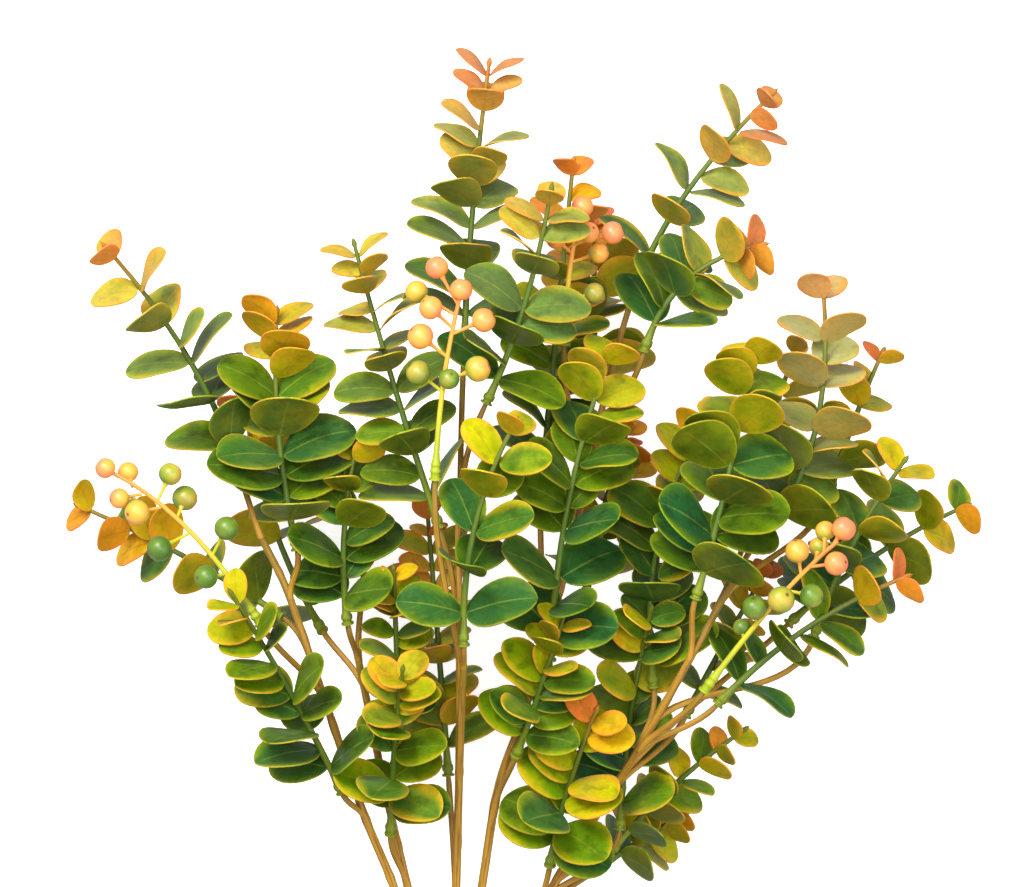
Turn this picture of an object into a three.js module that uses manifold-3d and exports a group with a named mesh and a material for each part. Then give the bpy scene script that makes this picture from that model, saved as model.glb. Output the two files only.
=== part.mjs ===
// A branching spray of moulded eucalyptus foliage with gum nuts, lying on its back on a surface.
// Wire-stiff tan stems leave one stalk and fork. Each fork ends in a peg, and a leafy sprig or a
// spray of gum nuts is pushed over that peg by the socket at its own foot.
// Units are millimetres. X runs to the right, Y along the spray from stalk to tip, and Z up.

import * as THREE from 'three';
import { mergeVertices } from 'three/addons/utils/BufferGeometryUtils.js';
import Module from 'manifold-3d';

const wasm = await Module();
wasm.setup();

// Driving dimensions
const SIDES = { stem: 5, shoot: 4, nut: 5 };
const STALK = { radius: 8.4, sides: 8, foot: -42, top: 8, socketDepth: 14, ring: 4.6, hole: 2.75 };
const STEM = { foot: 2.4, head: 1.9, start: 9.4, steps: 7, peg: 2.3 };
const TWIG = { foot: 1.6, head: 1.45, step: 40, reach: 0.36, splay: 0.6, pegLength: 5.5 };
const SOCKET = { bore: 1.88, depth: 6, rim: 3.2, bulb: 3, bulbAt: 5.5, neckAt: 13 };
const SPRIG = { neck: 1.9, head: 1.3, tip: 0.5, middle: 0.52, budLength: 8, firstPair: 16, lastPair: 9 };
const SPRAY = { neck: 1.6, head: 1.1, middle: 0.55, pedicel: 0.9 };
// The shape of a nut along its own stalk, as [along, radius] shares of its diameter and its radius
const NUT_PROFILE = [[0.02, 0.3], [0.5, 1], [0.88, 0.72]];
const BLADE = { thickness: 0.8, arch: 0.07, rootAt: 0.7, lift: 1 };
const CLEARANCE = { thickness: 2.3, margin: 0.7 };

// Blade outlines as [along, across] shares of the length and the half width, ending at the root
const LARGE_OUTLINE = [[0.5, -1.02], [0.98, -0.5], [0.98, 0.5], [0.5, 1.02], [0, 0]];
const SMALL_OUTLINE = [[0.52, -1], [1, 0], [0.52, 1], [0, 0]];
const LARGE_BLADE = 22;

// Ways to bend a leaf clear of its neighbours: [change of pitch, turn round the stem, size]
const BENDS = [
  [0, 0, 1], [-10, 0, 1], [9, 0, 1], [0, 16, 1], [0, -16, 1], [-12, 18, 0.95], [-12, -18, 0.95],
  [-22, 0, 0.95], [8, 30, 0.9], [8, -30, 0.9], [-24, 28, 0.85], [-24, -28, 0.85], [-30, 0, 0.75],
  [10, 0, 0.7], [-30, 35, 0.65], [-30, -35, 0.65],
];

const MATERIALS = {
  stem: new THREE.MeshStandardMaterial({ color: 0xa67c33, roughness: 0.55, metalness: 0 }),
  leaf: new THREE.MeshStandardMaterial({ color: 0x4f7a22, roughness: 0.5, metalness: 0 }),
  nut: new THREE.MeshStandardMaterial({ color: 0xe09a4a, roughness: 0.42, metalness: 0 }),
};

// Main stems: angle of the stalk's hole in degrees, then points from low to high
const STEMS = {
  stem_left: {
    hole: 162,
    path: [
      [-14, 45, 24], [-29, 91, 46], [-44, 129, 66], [-64, 189, 84], [-81, 239, 92], [-94, 266, 94],
    ],
  },
  stem_left_inner: {
    hole: 234,
    path: [[-12, 50, 20], [-22, 91, 38], [-33, 140, 54], [-42, 185, 68], [-46, 205, 76]],
  },
  stem_centre: {
    hole: 90,
    path: [[1, 45, 32], [3, 91, 56], [4.5, 145, 80], [6, 185, 104], [7, 202, 116]],
  },
  stem_right_inner: {
    hole: 306,
    path: [
      [8, 45, 22], [16, 91, 42], [24, 140, 58], [36, 175, 70], [46, 209, 82], [55, 240, 87],
      [63, 270, 84], [74, 322, 73],
    ],
  },
  stem_right: {
    hole: 18,
    path: [
      [26, 45, 24], [52, 91, 47], [75, 130, 70], [95, 162, 94], [120, 207, 111], [142, 247, 104],
    ],
  },
};

// Leafy sprigs: the stem and height that the twig leaves, foot, middle and tip of the sprig, number
// of leaf pairs, length and relative breadth of the largest leaf, turn of the first pair, and how
// far the leaves' faces are turned up to the viewer
const SPRIGS = [
  {
    stem: 'stem_centre', from: 110, foot: [7, 362, 82], via: [10, 435, 84], tip: [20, 506, 92],
    pairs: 7, leaf: 28, breadth: 0.82, turn: 8, facing: 0.35,
  },
  {
    stem: 'stem_right_inner', from: 322, foot: [95, 396, 60], via: [112, 441, 64], tip: [164, 491, 74],
    pairs: 6, leaf: 27, breadth: 0.78, turn: 10, facing: 0.25,
  },
  {
    stem: 'stem_left', from: 266, foot: [-105, 299, 95], via: [-123, 358, 98], tip: [-173, 413, 112],
    pairs: 6, leaf: 29, breadth: 0.86, turn: 24, facing: 0.35,
  },
  {
    stem: 'stem_right', from: 247, foot: [157, 269, 93], via: [195, 312, 88], tip: [186, 397, 84],
    pairs: 6, leaf: 29, breadth: 0.95, turn: 38, facing: 0.5,
  },
  {
    stem: 'stem_right', from: 150, foot: [170, 222, 44], via: [214, 262, 34], tip: [263, 283, 36],
    pairs: 5, leaf: 28, breadth: 0.88, turn: 48, facing: 0.9,
  },
  {
    stem: 'stem_right', from: 159, foot: [133, 183, 105], via: [175, 228, 112], tip: [230, 248, 108],
    pairs: 5, leaf: 26, breadth: 0.9, turn: 20, facing: 0.6,
  },
  {
    stem: 'stem_centre', from: 183, foot: [18, 333, 120], via: [40, 377, 126], tip: [51, 442, 136],
    pairs: 6, leaf: 29, breadth: 0.82, turn: 4, facing: 0.8,
  },
  {
    stem: 'stem_right_inner', from: 207, foot: [46, 291, 74], via: [53, 372, 70], tip: [62, 457, 80],
    pairs: 6, leaf: 26, breadth: 0.8, turn: 30, facing: 0.5,
  },
  {
    stem: 'stem_centre', from: 150, foot: [-5, 271, 114], via: [-29, 342, 118], tip: [-48, 415, 122],
    pairs: 7, leaf: 28, breadth: 0.8, turn: 12, facing: 0.25,
  },
  {
    stem: 'stem_centre', from: 202, foot: [7, 213, 131], via: [5, 276, 146], tip: [34, 326, 152],
    pairs: 6, leaf: 30, breadth: 0.8, turn: 14, facing: 1,
  },
  {
    stem: 'stem_left', from: 236, foot: [-76, 260, 102], via: [-90, 320, 108], tip: [-86, 382, 100],
    pairs: 6, leaf: 32, breadth: 0.98, turn: 68, facing: 0.9,
  },
  {
    stem: 'stem_left_inner', from: 205, foot: [-51, 223, 92], via: [-57, 265, 104], tip: [-46, 315, 108],
    pairs: 5, leaf: 29, breadth: 0.86, turn: 52, facing: 1,
  },
  {
    stem: 'stem_left_inner', from: 192, foot: [-64, 219, 62], via: [-97, 272, 15.5], tip: [-105, 337, 14.3],
    pairs: 4, leaf: 27, breadth: 0.86, turn: 40, facing: 0.5,
  },
  {
    stem: 'stem_left', from: 190, foot: [-84, 226, 66], via: [-130, 258, 50], tip: [-190, 283, 46],
    pairs: 5, leaf: 25, breadth: 0.84, turn: 35, facing: 0.8,
  },
  {
    stem: 'stem_left', from: 126, foot: [-54, 138, 76], via: [-78, 190, 92], tip: [-110, 241, 116],
    pairs: 6, leaf: 28, breadth: 0.86, turn: 44, facing: 0.7,
  },
  {
    stem: 'stem_left_inner', from: 91, foot: [-30, 117, 62], via: [-29, 162, 92], tip: [-23, 203, 118],
    pairs: 6, leaf: 27, breadth: 0.86, turn: 22, facing: 0.5,
  },
  {
    stem: 'stem_left_inner', from: 140, foot: [-25, 168, 72], via: [-27, 215, 92], tip: [-28, 253, 104],
    pairs: 4, leaf: 20, breadth: 0.85, turn: 60, facing: 0.4,
  },
  {
    stem: 'stem_centre', from: 80, foot: [-1, 146, 56], via: [-6, 215, 62], tip: [-12, 285, 64],
    pairs: 4, leaf: 26, breadth: 0.78, turn: 16, facing: 0.5,
  },
  {
    stem: 'stem_right_inner', from: 132, foot: [33, 157, 84], via: [44, 186, 112], tip: [58, 231, 120],
    pairs: 5, leaf: 24, breadth: 0.78, turn: 20, facing: 0.6,
  },
  {
    stem: 'stem_right_inner', from: 190, foot: [50, 205, 104], via: [53, 287, 128], tip: [81, 362, 126],
    pairs: 7, leaf: 31, breadth: 0.92, turn: 50, facing: 0.8,
  },
  {
    stem: 'stem_right_inner', from: 222, foot: [68, 236, 66], via: [73, 275, 58], tip: [92, 328, 60],
    pairs: 4, leaf: 22, breadth: 0.85, turn: 30, facing: 0.5,
  },
  {
    stem: 'stem_right_inner', from: 268, foot: [70, 335, 42], via: [76, 385, 16.5], tip: [70, 432, 20],
    pairs: 4, leaf: 27, breadth: 0.82, turn: 34, facing: 0.5,
  },
  {
    stem: 'stem_right_inner', from: 308, foot: [97, 359, 92], via: [110, 405, 98], tip: [159, 413, 98],
    pairs: 5, leaf: 28, breadth: 0.9, turn: 46, facing: 0.7,
  },
  {
    stem: 'stem_right', from: 206, foot: [122, 236, 124], via: [139, 290, 132], tip: [151, 364, 122],
    pairs: 7, leaf: 32, breadth: 0.98, turn: 56, facing: 1.1,
  },
  {
    stem: 'stem_right', from: 158, foot: [102, 191, 82], via: [91, 270, 92], tip: [132, 331, 104],
    pairs: 6, leaf: 30, breadth: 0.92, turn: 14, facing: 0.7,
  },
  {
    stem: 'stem_right', from: 92, foot: [85, 119, 62], via: [88, 177, 62], tip: [101, 233, 100],
    pairs: 6, leaf: 28, breadth: 0.95, turn: 46, facing: 1,
  },
  {
    stem: 'stem_right', from: 66, foot: [50, 101, 58], via: [55, 135, 80], tip: [74, 183, 106],
    pairs: 5, leaf: 28, breadth: 0.92, turn: 26, facing: 0.7,
  },
  {
    stem: 'stem_right', from: 84, foot: [80, 107, 52], via: [108, 142, 50], tip: [150, 171, 60],
    pairs: 4, leaf: 21, breadth: 0.82, turn: 40, facing: 0.7,
  },
  {
    stem: 'stem_right', from: 76, foot: [74, 98, 30], via: [94, 112, 26], tip: [122, 128, 28],
    pairs: 3, leaf: 20, breadth: 0.9, turn: 50, facing: 0.8,
  },
  {
    stem: 'stem_right', from: 140, foot: [118, 176, 62], via: [138, 215, 56], tip: [162, 255, 62],
    pairs: 4, leaf: 22, breadth: 0.85, turn: 24, facing: 0.6,
  },
  {
    stem: 'stem_right', from: 176, foot: [182, 216, 78], via: [198, 265, 80], tip: [229, 307, 88],
    pairs: 5, leaf: 26, breadth: 0.92, turn: 36, facing: 0.7,
  },
  {
    stem: 'stem_right', from: 226, foot: [150, 274, 54], via: [160, 322, 13.5], tip: [177, 367, 13.5],
    pairs: 4, leaf: 22, breadth: 0.8, turn: 10, facing: 0.4,
  },
  {
    stem: 'stem_right', from: 236, foot: [190, 288, 62], via: [204, 330, 48], tip: [219, 362, 46],
    pairs: 3, leaf: 21, breadth: 0.85, turn: 40, facing: 0.5,
  },
];

// Sprays of gum nuts: as a sprig, then [x, y, height over the stalk, diameter] of each nut
const NUT_SPRAYS = [
  {
    stem: 'stem_left', from: 186, foot: [-94, 223, 104], via: [-128, 279, 112], tip: [-168, 299, 116],
    nuts: [
      [-171, 301, 1, 10.4], [-160, 299, -5, 10.4], [-164, 286, 4, 10.4], [-155, 279, 8, 12.6],
      [-139, 298, -1, 11.6], [-132, 286, -8, 12.8], [-144, 261, 7, 12.8], [-111, 271, 5, 12.2],
      [-121, 247, 7, 12],
    ],
  },
  {
    stem: 'stem_centre', from: 190, foot: [-7, 295, 146], via: [-5, 344, 152], tip: [5, 384, 157],
    nuts: [
      [6, 389, 1, 11.2], [-6, 400, -3, 11.4], [-16, 388, -6, 11.6], [-9, 380, 6, 11.8],
      [-14, 366, 5, 13], [17, 374, 3, 12], [-15, 348, 3, 12.6], [0, 345, 9, 10.4],
      [14, 350, 3, 13],
    ],
  },
  {
    stem: 'stem_right', from: 160, foot: [126, 190, 124], via: [162, 240, 136], tip: [192, 265, 144],
    nuts: [
      [195, 271, 1, 12], [186, 270, -6, 10], [172, 260, 3, 12], [191, 254, 7, 12],
      [183, 262, -9, 10], [164, 236, 8, 13.6], [179, 238, 4, 12], [151, 232, 6, 12.4],
      [145, 222, -3, 9],
    ],
  },
  {
    stem: 'stem_right_inner', from: 282, foot: [57, 362, 102], via: [58, 400, 106], tip: [65, 427, 112],
    nuts: [
      [66, 431, 1, 11], [69, 418, 9, 10.6], [81, 418, 2, 11.4], [74, 408, 3, 10.4],
      [53, 415, 0, 10.2], [72, 388, 2, 10.6],
    ],
  },
  {
    stem: 'stem_right_inner', from: 242, foot: [69, 267, 79], via: [84, 271, 80], tip: [101, 283, 78],
    nuts: [
      [103, 284, 1, 9.4], [87, 287, 2, 8.4], [88, 267, 1, 10],
    ],
  },
  {
    stem: 'stem_left_inner', from: 203, foot: [-49, 278, 74], via: [-55, 290, 76], tip: [-60, 297, 78],
    nuts: [
      [-62, 300, 1, 10.8], [-66, 286, -2, 9.4],
    ],
  },
];

// A repeatable stream of numbers from 0 to 1, so that every build is alike
function seededDraws(seed) {
  let state = seed * 7919 + 17;
  return () => {
    state = (state * 1664525 + 1013904223) % 4294967296;
    return state / 4294967296;
  };
}

const UP = new THREE.Vector3(0, 0, 1);
const point = (numbers) => new THREE.Vector3(...numbers);
const radians = THREE.MathUtils.degToRad;

// Point, forward direction, and the two directions across it, at t along a curve
function frameAt(curve, t) {
  const forward = curve.getTangent(t);
  const side = forward.clone().cross(UP).normalize();
  const front = side.clone().cross(forward);
  return { origin: curve.getPoint(t), forward, side, front };
}

// Closed geometry to a solid that can be joined and cut
function solidOf(geometry) {
  geometry.deleteAttribute('uv');
  geometry.deleteAttribute('normal');
  const merged = mergeVertices(geometry, 1e-4);
  return new wasm.Manifold(new wasm.Mesh({
    numProp: 3,
    vertProperties: new Float32Array(merged.attributes.position.array),
    triVerts: new Uint32Array(merged.index.array),
  }));
}

// A solid back to flat-shaded geometry
function geometryOf(solid) {
  const mesh = solid.getMesh();
  const geometry = new THREE.BufferGeometry();
  geometry.setAttribute('position', new THREE.BufferAttribute(new Float32Array(mesh.vertProperties), 3));
  geometry.setIndex(new THREE.BufferAttribute(new Uint32Array(mesh.triVerts), 1));
  const flat = geometry.toNonIndexed();
  flat.computeVertexNormals();
  return flat;
}

// Moves every vertex of a geometry by a rule
function reshape(geometry, rule) {
  const position = geometry.attributes.position;
  for (let i = 0; i < position.count; i += 1) {
    const moved = rule(new THREE.Vector3().fromBufferAttribute(position, i));
    position.setXYZ(i, moved.x, moved.y, moved.z);
  }
  return geometry;
}

// A rod through a list of frames, each with the rod's radius there, turned about its own axis
function rodThrough(frames, radii, sides, roll = 0) {
  const steps = frames.length - 1;
  const rod = new THREE.CylinderGeometry(1, 1, 1, sides, steps).rotateY(roll);
  return solidOf(reshape(rod, (v) => {
    const level = Math.round((v.y + 0.5) * steps);
    const { origin, side, front } = frames[level];
    const out = side.clone().multiplyScalar(v.x).addScaledVector(front, v.z);
    return origin.clone().addScaledVector(out, radii[level]);
  }));
}

// A rod along a curve, with its radius given at each of its levels [t, radius]
function rodAlong(curve, levels, sides, roll = 0) {
  const frames = levels.map(([t]) => frameAt(curve, t));
  return rodThrough(frames, levels.map(([, radius]) => radius), sides, roll);
}

// Evenly spaced levels from one radius to another
function evenLevels(steps, footRadius, headRadius) {
  const radiusAt = (share) => THREE.MathUtils.lerp(footRadius, headRadius, share);
  return Array.from({ length: steps + 1 }, (_, i) => [i / steps, radiusAt(i / steps)]);
}

// A straight rod from one point to another
function straightRod(from, to, radius, sides, roll = 0) {
  return rodAlong(new THREE.LineCurve3(from, to), [[0, radius], [1, radius]], sides, roll);
}

// Where on a stem, from 0 to 1, it passes a given Y
function levelAt(curve, y) {
  let low = 0;
  let high = 1;
  for (let i = 0; i < 30; i += 1) {
    const middle = (low + high) / 2;
    if (curve.getPoint(middle).y < y) low = middle;
    else high = middle;
  }
  return (low + high) / 2;
}

const stalkAxis = STALK.radius * Math.cos(Math.PI / STALK.sides);
const holeCentre = (degrees) => point([
  STALK.ring * Math.cos(radians(degrees)), STALK.top, stalkAxis + STALK.ring * Math.sin(radians(degrees)),
]);
const alongY = (from, distance) => from.clone().add(new THREE.Vector3(0, distance, 0));

// The stalk: a short rod, flat below, with a plain hole for each stem
function buildStalk() {
  const height = STALK.top - STALK.foot;
  const body = new THREE.CylinderGeometry(STALK.radius, STALK.radius * 0.94, height, STALK.sides);
  body.rotateY(Math.PI / STALK.sides);
  body.translate(0, (STALK.top + STALK.foot) / 2, stalkAxis);
  let stalk = solidOf(body);
  for (const { hole } of Object.values(STEMS)) {
    const mouth = holeCentre(hole);
    const bottom = alongY(mouth, -STALK.socketDepth);
    stalk = stalk.subtract(straightRod(bottom, alongY(mouth, 1), STALK.hole, 6));
  }
  return stalk;
}

function stemCurve({ hole, path }) {
  const start = alongY(holeCentre(hole), STEM.start - STALK.top);
  return new THREE.CatmullRomCurve3([start, ...path.map(point)], false, 'catmullrom', 0.5);
}

// The curve of a leafy sprig or a nut spray, and its rough length
function shootCurve({ foot, via, tip }) {
  const curve = new THREE.QuadraticBezierCurve3(point(foot), point(via), point(tip));
  const legs = curve.v0.distanceTo(curve.v1) + curve.v1.distanceTo(curve.v2);
  return { curve, length: (legs + curve.v0.distanceTo(curve.v2)) / 2 };
}

// The levels [t, radius] of a shoot: a bulging socket, a neck, and a stem that narrows to its tip
function shootLevels(shoot) {
  const { length } = shootCurve(shoot);
  const { neck, head, middle } = shoot.nuts ? SPRAY : SPRIG;
  const socket = [[0, SOCKET.rim], [SOCKET.bulbAt / length, SOCKET.bulb], [SOCKET.neckAt / length, neck]];
  const end = shoot.nuts ? [[1, head]] : [[1 - SPRIG.budLength / length, head], [1, SPRIG.tip]];
  return [...socket, [middle, (neck + head) / 2], ...end];
}

// The frame at t along a shoot, with its origin on the straight stretch between two levels
function shootFrame(shoot, t) {
  const { curve } = shootCurve(shoot);
  const levels = shootLevels(shoot);
  const above = Math.max(levels.findIndex(([level]) => level >= t), 1);
  const [low, high] = [levels[above - 1][0], levels[above][0]];
  const origin = curve.getPoint(low).lerp(curve.getPoint(high), (t - low) / (high - low));
  return { ...frameAt(curve, t), origin };
}

// Turns a shoot's four sides so that its leaves leave from the middle of a side
const rollOf = (shoot) => radians(45 - (shoot.turn ?? 45));

// The twig that leaves a stem and ends in the peg for one shoot
function buildTwig(stem, shoot) {
  const start = frameAt(stem, levelAt(stem, shoot.from));
  const { curve } = shootCurve(shoot);
  const seat = frameAt(curve, 0);
  const reach = start.origin.distanceTo(seat.origin) * TWIG.reach;
  const towards = seat.origin.clone().sub(start.origin).normalize();
  const leave = start.forward.clone().lerp(towards, TWIG.splay);
  const bend = new THREE.CubicBezierCurve3(
    start.origin, start.origin.clone().addScaledVector(leave, reach),
    seat.origin.clone().addScaledVector(seat.forward, -reach), seat.origin,
  );
  const steps = Math.ceil(start.origin.distanceTo(seat.origin) / TWIG.step);
  const levels = evenLevels(steps, TWIG.foot, TWIG.head);
  const peg = { ...seat, origin: seat.origin.clone().addScaledVector(seat.forward, TWIG.pegLength) };
  const frames = [...levels.map(([t]) => frameAt(bend, t)), peg];
  return rodThrough(frames, [...levels.map(([, radius]) => radius), TWIG.head], SIDES.shoot, rollOf(shoot));
}

// A main stem with its foot in the stalk and all its twigs
function buildStem(name) {
  const stem = stemCurve(STEMS[name]);
  const mouth = holeCentre(STEMS[name].hole);
  const bottom = alongY(mouth, 0.4 - STALK.socketDepth);
  const foot = straightRod(bottom, alongY(mouth, STEM.start - STALK.top + 1), STEM.peg, 6);
  const rod = rodAlong(stem, evenLevels(STEM.steps, STEM.foot, STEM.head), SIDES.stem);
  const shoots = [...SPRIGS, ...NUT_SPRAYS].filter((shoot) => shoot.stem === name);
  return wasm.Manifold.union([rod, foot, ...shoots.map((shoot) => buildTwig(stem, shoot))]);
}

// The stem of a shoot, with a bore for its peg
function shootStem(shoot) {
  const { curve } = shootCurve(shoot);
  const mouth = frameAt(curve, 0);
  const below = mouth.origin.clone().addScaledVector(mouth.forward, -1);
  const bottom = mouth.origin.clone().addScaledVector(mouth.forward, SOCKET.depth);
  const bore = straightRod(below, bottom, SOCKET.bore, SIDES.shoot, rollOf(shoot));
  return rodAlong(curve, shootLevels(shoot), SIDES.shoot, rollOf(shoot)).subtract(bore);
}

// Where the leaf pairs of a sprig sit, and how large, turned and pitched each pair is
function leafPairs(sprig, index) {
  const draw = seededDraws(index + 1);
  const { length } = shootCurve(sprig);
  const first = SPRIG.firstPair / length;
  const last = 1 - SPRIG.lastPair / length;
  return Array.from({ length: sprig.pairs }, (_, i) => {
    const share = i / (sprig.pairs - 1);
    return {
      t: first + (last - first) * share * (1.14 - 0.14 * share),
      size: sprig.leaf * (1.06 + 0.14 * draw()) * (1 - 0.42 * share ** 2),
      turn: sprig.turn + 90 * i + 24 * (draw() - 0.5),
      pitch: 70 - 12 * share + 14 * (draw() - 0.5),
      facing: sprig.facing * (0.5 + 0.9 * draw()),
      stretch: sprig.breadth * (1 - 0.08 * share),
    };
  });
}

// One blade, from the axis of the stem outwards, cupped towards the tip of the sprig
function blade(frame, pair, side, [pitchChange, turnChange, scale], thickness, margin) {
  const turn = radians(pair.turn + 180 * side + turnChange);
  const { forward, side: right, front } = frame;
  const outward = right.clone().multiplyScalar(Math.cos(turn)).addScaledVector(front, Math.sin(turn));
  const pitch = radians(pair.pitch + pitchChange - BLADE.lift * Math.abs(outward.z));
  const along = forward.clone().multiplyScalar(Math.cos(pitch)).addScaledVector(outward, Math.sin(pitch));
  // The blade is rolled about its own length, so that some of its face looks up
  const face = forward.clone().multiplyScalar(Math.sin(pitch)).addScaledVector(outward, -Math.cos(pitch));
  face.addScaledVector(UP, face.z < -0.2 ? -pair.facing : pair.facing);
  face.projectOnPlane(along).normalize();
  const across = face.clone().cross(along);
  const length = pair.size * scale + margin;
  const halfWidth = pair.size * scale * pair.stretch / 2 + margin;
  const corners = pair.size > LARGE_BLADE ? LARGE_OUTLINE : SMALL_OUTLINE;
  const outline = new THREE.Shape(corners.map(([a, s]) => new THREE.Vector2(a, s)));
  const sheet = new THREE.ExtrudeGeometry(outline, { depth: 1, bevelEnabled: false });
  const root = frame.origin.clone().addScaledVector(outward, BLADE.rootAt);
  return solidOf(reshape(sheet, ({ x: a, y: s, z: h }) => {
    const raise = BLADE.arch * length * Math.sin(Math.PI * a) + thickness * (h - 0.5);
    const spot = root.clone().addScaledVector(along, length * a);
    return spot.addScaledVector(across, halfWidth * s).addScaledVector(face, raise);
  }));
}

// Boxes of two solids overlap
function boxesMeet(a, b) {
  return a.min.every((low, i) => low < b.max[i] && b.min[i] < a.max[i]);
}

// A solid is clear of every piece of another owner that has been placed
function isClear(solid, owner, placed) {
  const box = solid.boundingBox();
  return placed.every((other) => other.owner === owner || !boxesMeet(box, other.box)
    || solid.intersect(other.solid).isEmpty());
}

function place(placed, owner, solid) {
  placed.push({ owner, solid, box: solid.boundingBox() });
}

// The leaves of a sprig, each bent clear of other pieces and, where it can be, of its own leaves,
// or left out where nothing is clear
function growLeaves(sprig, index, owner, placed) {
  const leaves = [];
  for (const pair of leafPairs(sprig, index)) {
    const frame = shootFrame(sprig, pair.t);
    const grown = [0, 1].map((side) => {
      const padded = (bend) => blade(frame, pair, side, bend, CLEARANCE.thickness, CLEARANCE.margin);
      const isFree = (bend) => isClear(padded(bend), owner, placed);
      const grow = (bend) => blade(frame, pair, side, bend, BLADE.thickness, 0);
      const missesOwn = (bend) => leaves.every((other) => grow(bend).intersect(other).isEmpty());
      const bend = BENDS.find((choice) => isFree(choice) && missesOwn(choice)) ?? BENDS.find(isFree);
      return bend && grow(bend);
    });
    leaves.push(...grown.filter(Boolean));
  }
  leaves.forEach((leaf) => place(placed, owner, leaf));
  return leaves;
}

// A nut on its own short stalk, as one rod that swells into the nut
function buildNut(foot, centre, diameter) {
  const forward = centre.clone().sub(foot).normalize();
  const side = forward.clone().cross(new THREE.Vector3(0.3, 0.2, 1)).normalize();
  const front = side.clone().cross(forward);
  const base = centre.clone().addScaledVector(forward, -diameter / 2);
  const levels = NUT_PROFILE.map(([along]) => base.clone().addScaledVector(forward, along * diameter));
  const frames = [foot, ...levels].map((origin) => ({ origin, side, front }));
  const radii = [SPRAY.pedicel, ...NUT_PROFILE.map(([, radius]) => radius * diameter / 2)];
  return rodThrough(frames, radii, SIDES.nut);
}

// A nut spray: its stalk, and nuts whose own stalks lean forward from it
function buildNutSpray(spray) {
  const { curve } = shootCurve(spray);
  const chord = curve.v2.clone().sub(curve.v0);
  const nuts = spray.nuts.map(([x, y, lift, diameter]) => {
    const level = point([x, y, curve.v0.z]).sub(curve.v0).dot(chord) / chord.lengthSq();
    const lower = THREE.MathUtils.clamp(level - diameter / chord.length() * 0.7, 0.16, 0.97);
    const foot = shootFrame(spray, lower).origin;
    return buildNut(foot, point([x, y, foot.z + lift]), diameter);
  });
  return wasm.Manifold.union([shootStem(spray), ...nuts]);
}

// Puts a finished solid in the group as a mesh whose position is the given point
function addMesh(group, name, solid, at, material) {
  const mesh = new THREE.Mesh(geometryOf(solid).translate(-at.x, -at.y, -at.z), material);
  mesh.name = name;
  mesh.position.copy(at);
  group.add(mesh);
}

const numbered = (word, index) => `${word}_${String(index + 1).padStart(2, '0')}`;

function buildSpray() {
  const group = new THREE.Group();
  const placed = [];
  const stalk = buildStalk();
  place(placed, 'stalk', stalk);
  addMesh(group, 'stalk', stalk, point([0, STALK.top, stalkAxis]), MATERIALS.stem);
  for (const name of Object.keys(STEMS)) {
    const stem = buildStem(name);
    place(placed, name, stem);
    addMesh(group, name, stem, holeCentre(STEMS[name].hole), MATERIALS.stem);
  }
  NUT_SPRAYS.forEach((spray, index) => {
    const solid = buildNutSpray(spray);
    const name = numbered('gum_nut_spray', index);
    place(placed, name, solid);
    addMesh(group, name, solid, point(spray.foot), MATERIALS.nut);
  });
  const sprigs = SPRIGS.map((sprig, index) => (
    { sprig, index, name: numbered('leafy_sprig', index), stem: shootStem(sprig) }
  ));
  sprigs.forEach(({ name, stem }) => place(placed, name, stem));
  // The sprigs nearest the top are leafed first, because they are the ones that show
  sprigs.sort((a, b) => b.sprig.via[2] - a.sprig.via[2]);
  for (const { sprig, index, name, stem } of sprigs) {
    const leaves = growLeaves(sprig, index, name, placed);
    addMesh(group, name, wasm.Manifold.union([stem, ...leaves]), point(sprig.foot), MATERIALS.leaf);
  }
  return group;
}

// The origin lies under the middle of the spray, on the surface that it rests on
const spray = buildSpray();
const box = new THREE.Box3().setFromObject(spray, true);
const middle = box.getCenter(new THREE.Vector3());
spray.position.set(-middle.x, -middle.y, -box.min.z);

export default spray;
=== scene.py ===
"""A spray of moulded eucalyptus foliage and gum nuts, lying on a pale surface.

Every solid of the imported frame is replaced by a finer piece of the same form: round stems and
sockets, cupped leaves with a rim, a midrib and veins, and smooth gum nuts with a small dimple.
Sprigs also get further leaves between the solids' pairs, wherever there is room for them. Sizes
are in millimetres until a piece is finished, and its place comes from the frame.
"""

import logging
import math
from collections.abc import Iterator, Sequence
from dataclasses import dataclass, field
from enum import Enum

import bmesh
import bpy
from mathutils import Color, Matrix, Vector, kdtree
from mathutils.bvhtree import BVHTree


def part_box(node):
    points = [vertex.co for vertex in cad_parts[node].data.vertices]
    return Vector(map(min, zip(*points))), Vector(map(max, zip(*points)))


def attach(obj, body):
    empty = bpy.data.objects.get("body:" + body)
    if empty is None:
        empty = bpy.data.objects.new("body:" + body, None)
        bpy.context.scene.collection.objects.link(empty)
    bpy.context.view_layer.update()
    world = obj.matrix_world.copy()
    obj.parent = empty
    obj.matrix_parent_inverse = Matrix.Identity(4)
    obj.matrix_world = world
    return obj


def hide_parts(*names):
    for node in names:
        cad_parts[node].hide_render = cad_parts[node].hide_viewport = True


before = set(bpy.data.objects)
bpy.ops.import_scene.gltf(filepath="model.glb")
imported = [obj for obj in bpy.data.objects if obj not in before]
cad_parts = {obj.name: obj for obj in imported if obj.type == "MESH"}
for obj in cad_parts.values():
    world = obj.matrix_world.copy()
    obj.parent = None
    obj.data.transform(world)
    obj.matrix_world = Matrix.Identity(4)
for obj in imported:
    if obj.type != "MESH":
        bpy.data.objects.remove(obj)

LOG = logging.getLogger("eucalyptus_spray")
MM = 0.001
UP = Vector((0, 0, 1))
Socket = bpy.types.NodeSocket
Material = bpy.types.Material


# Driving sizes of the solids, which the finer pieces follow


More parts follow.
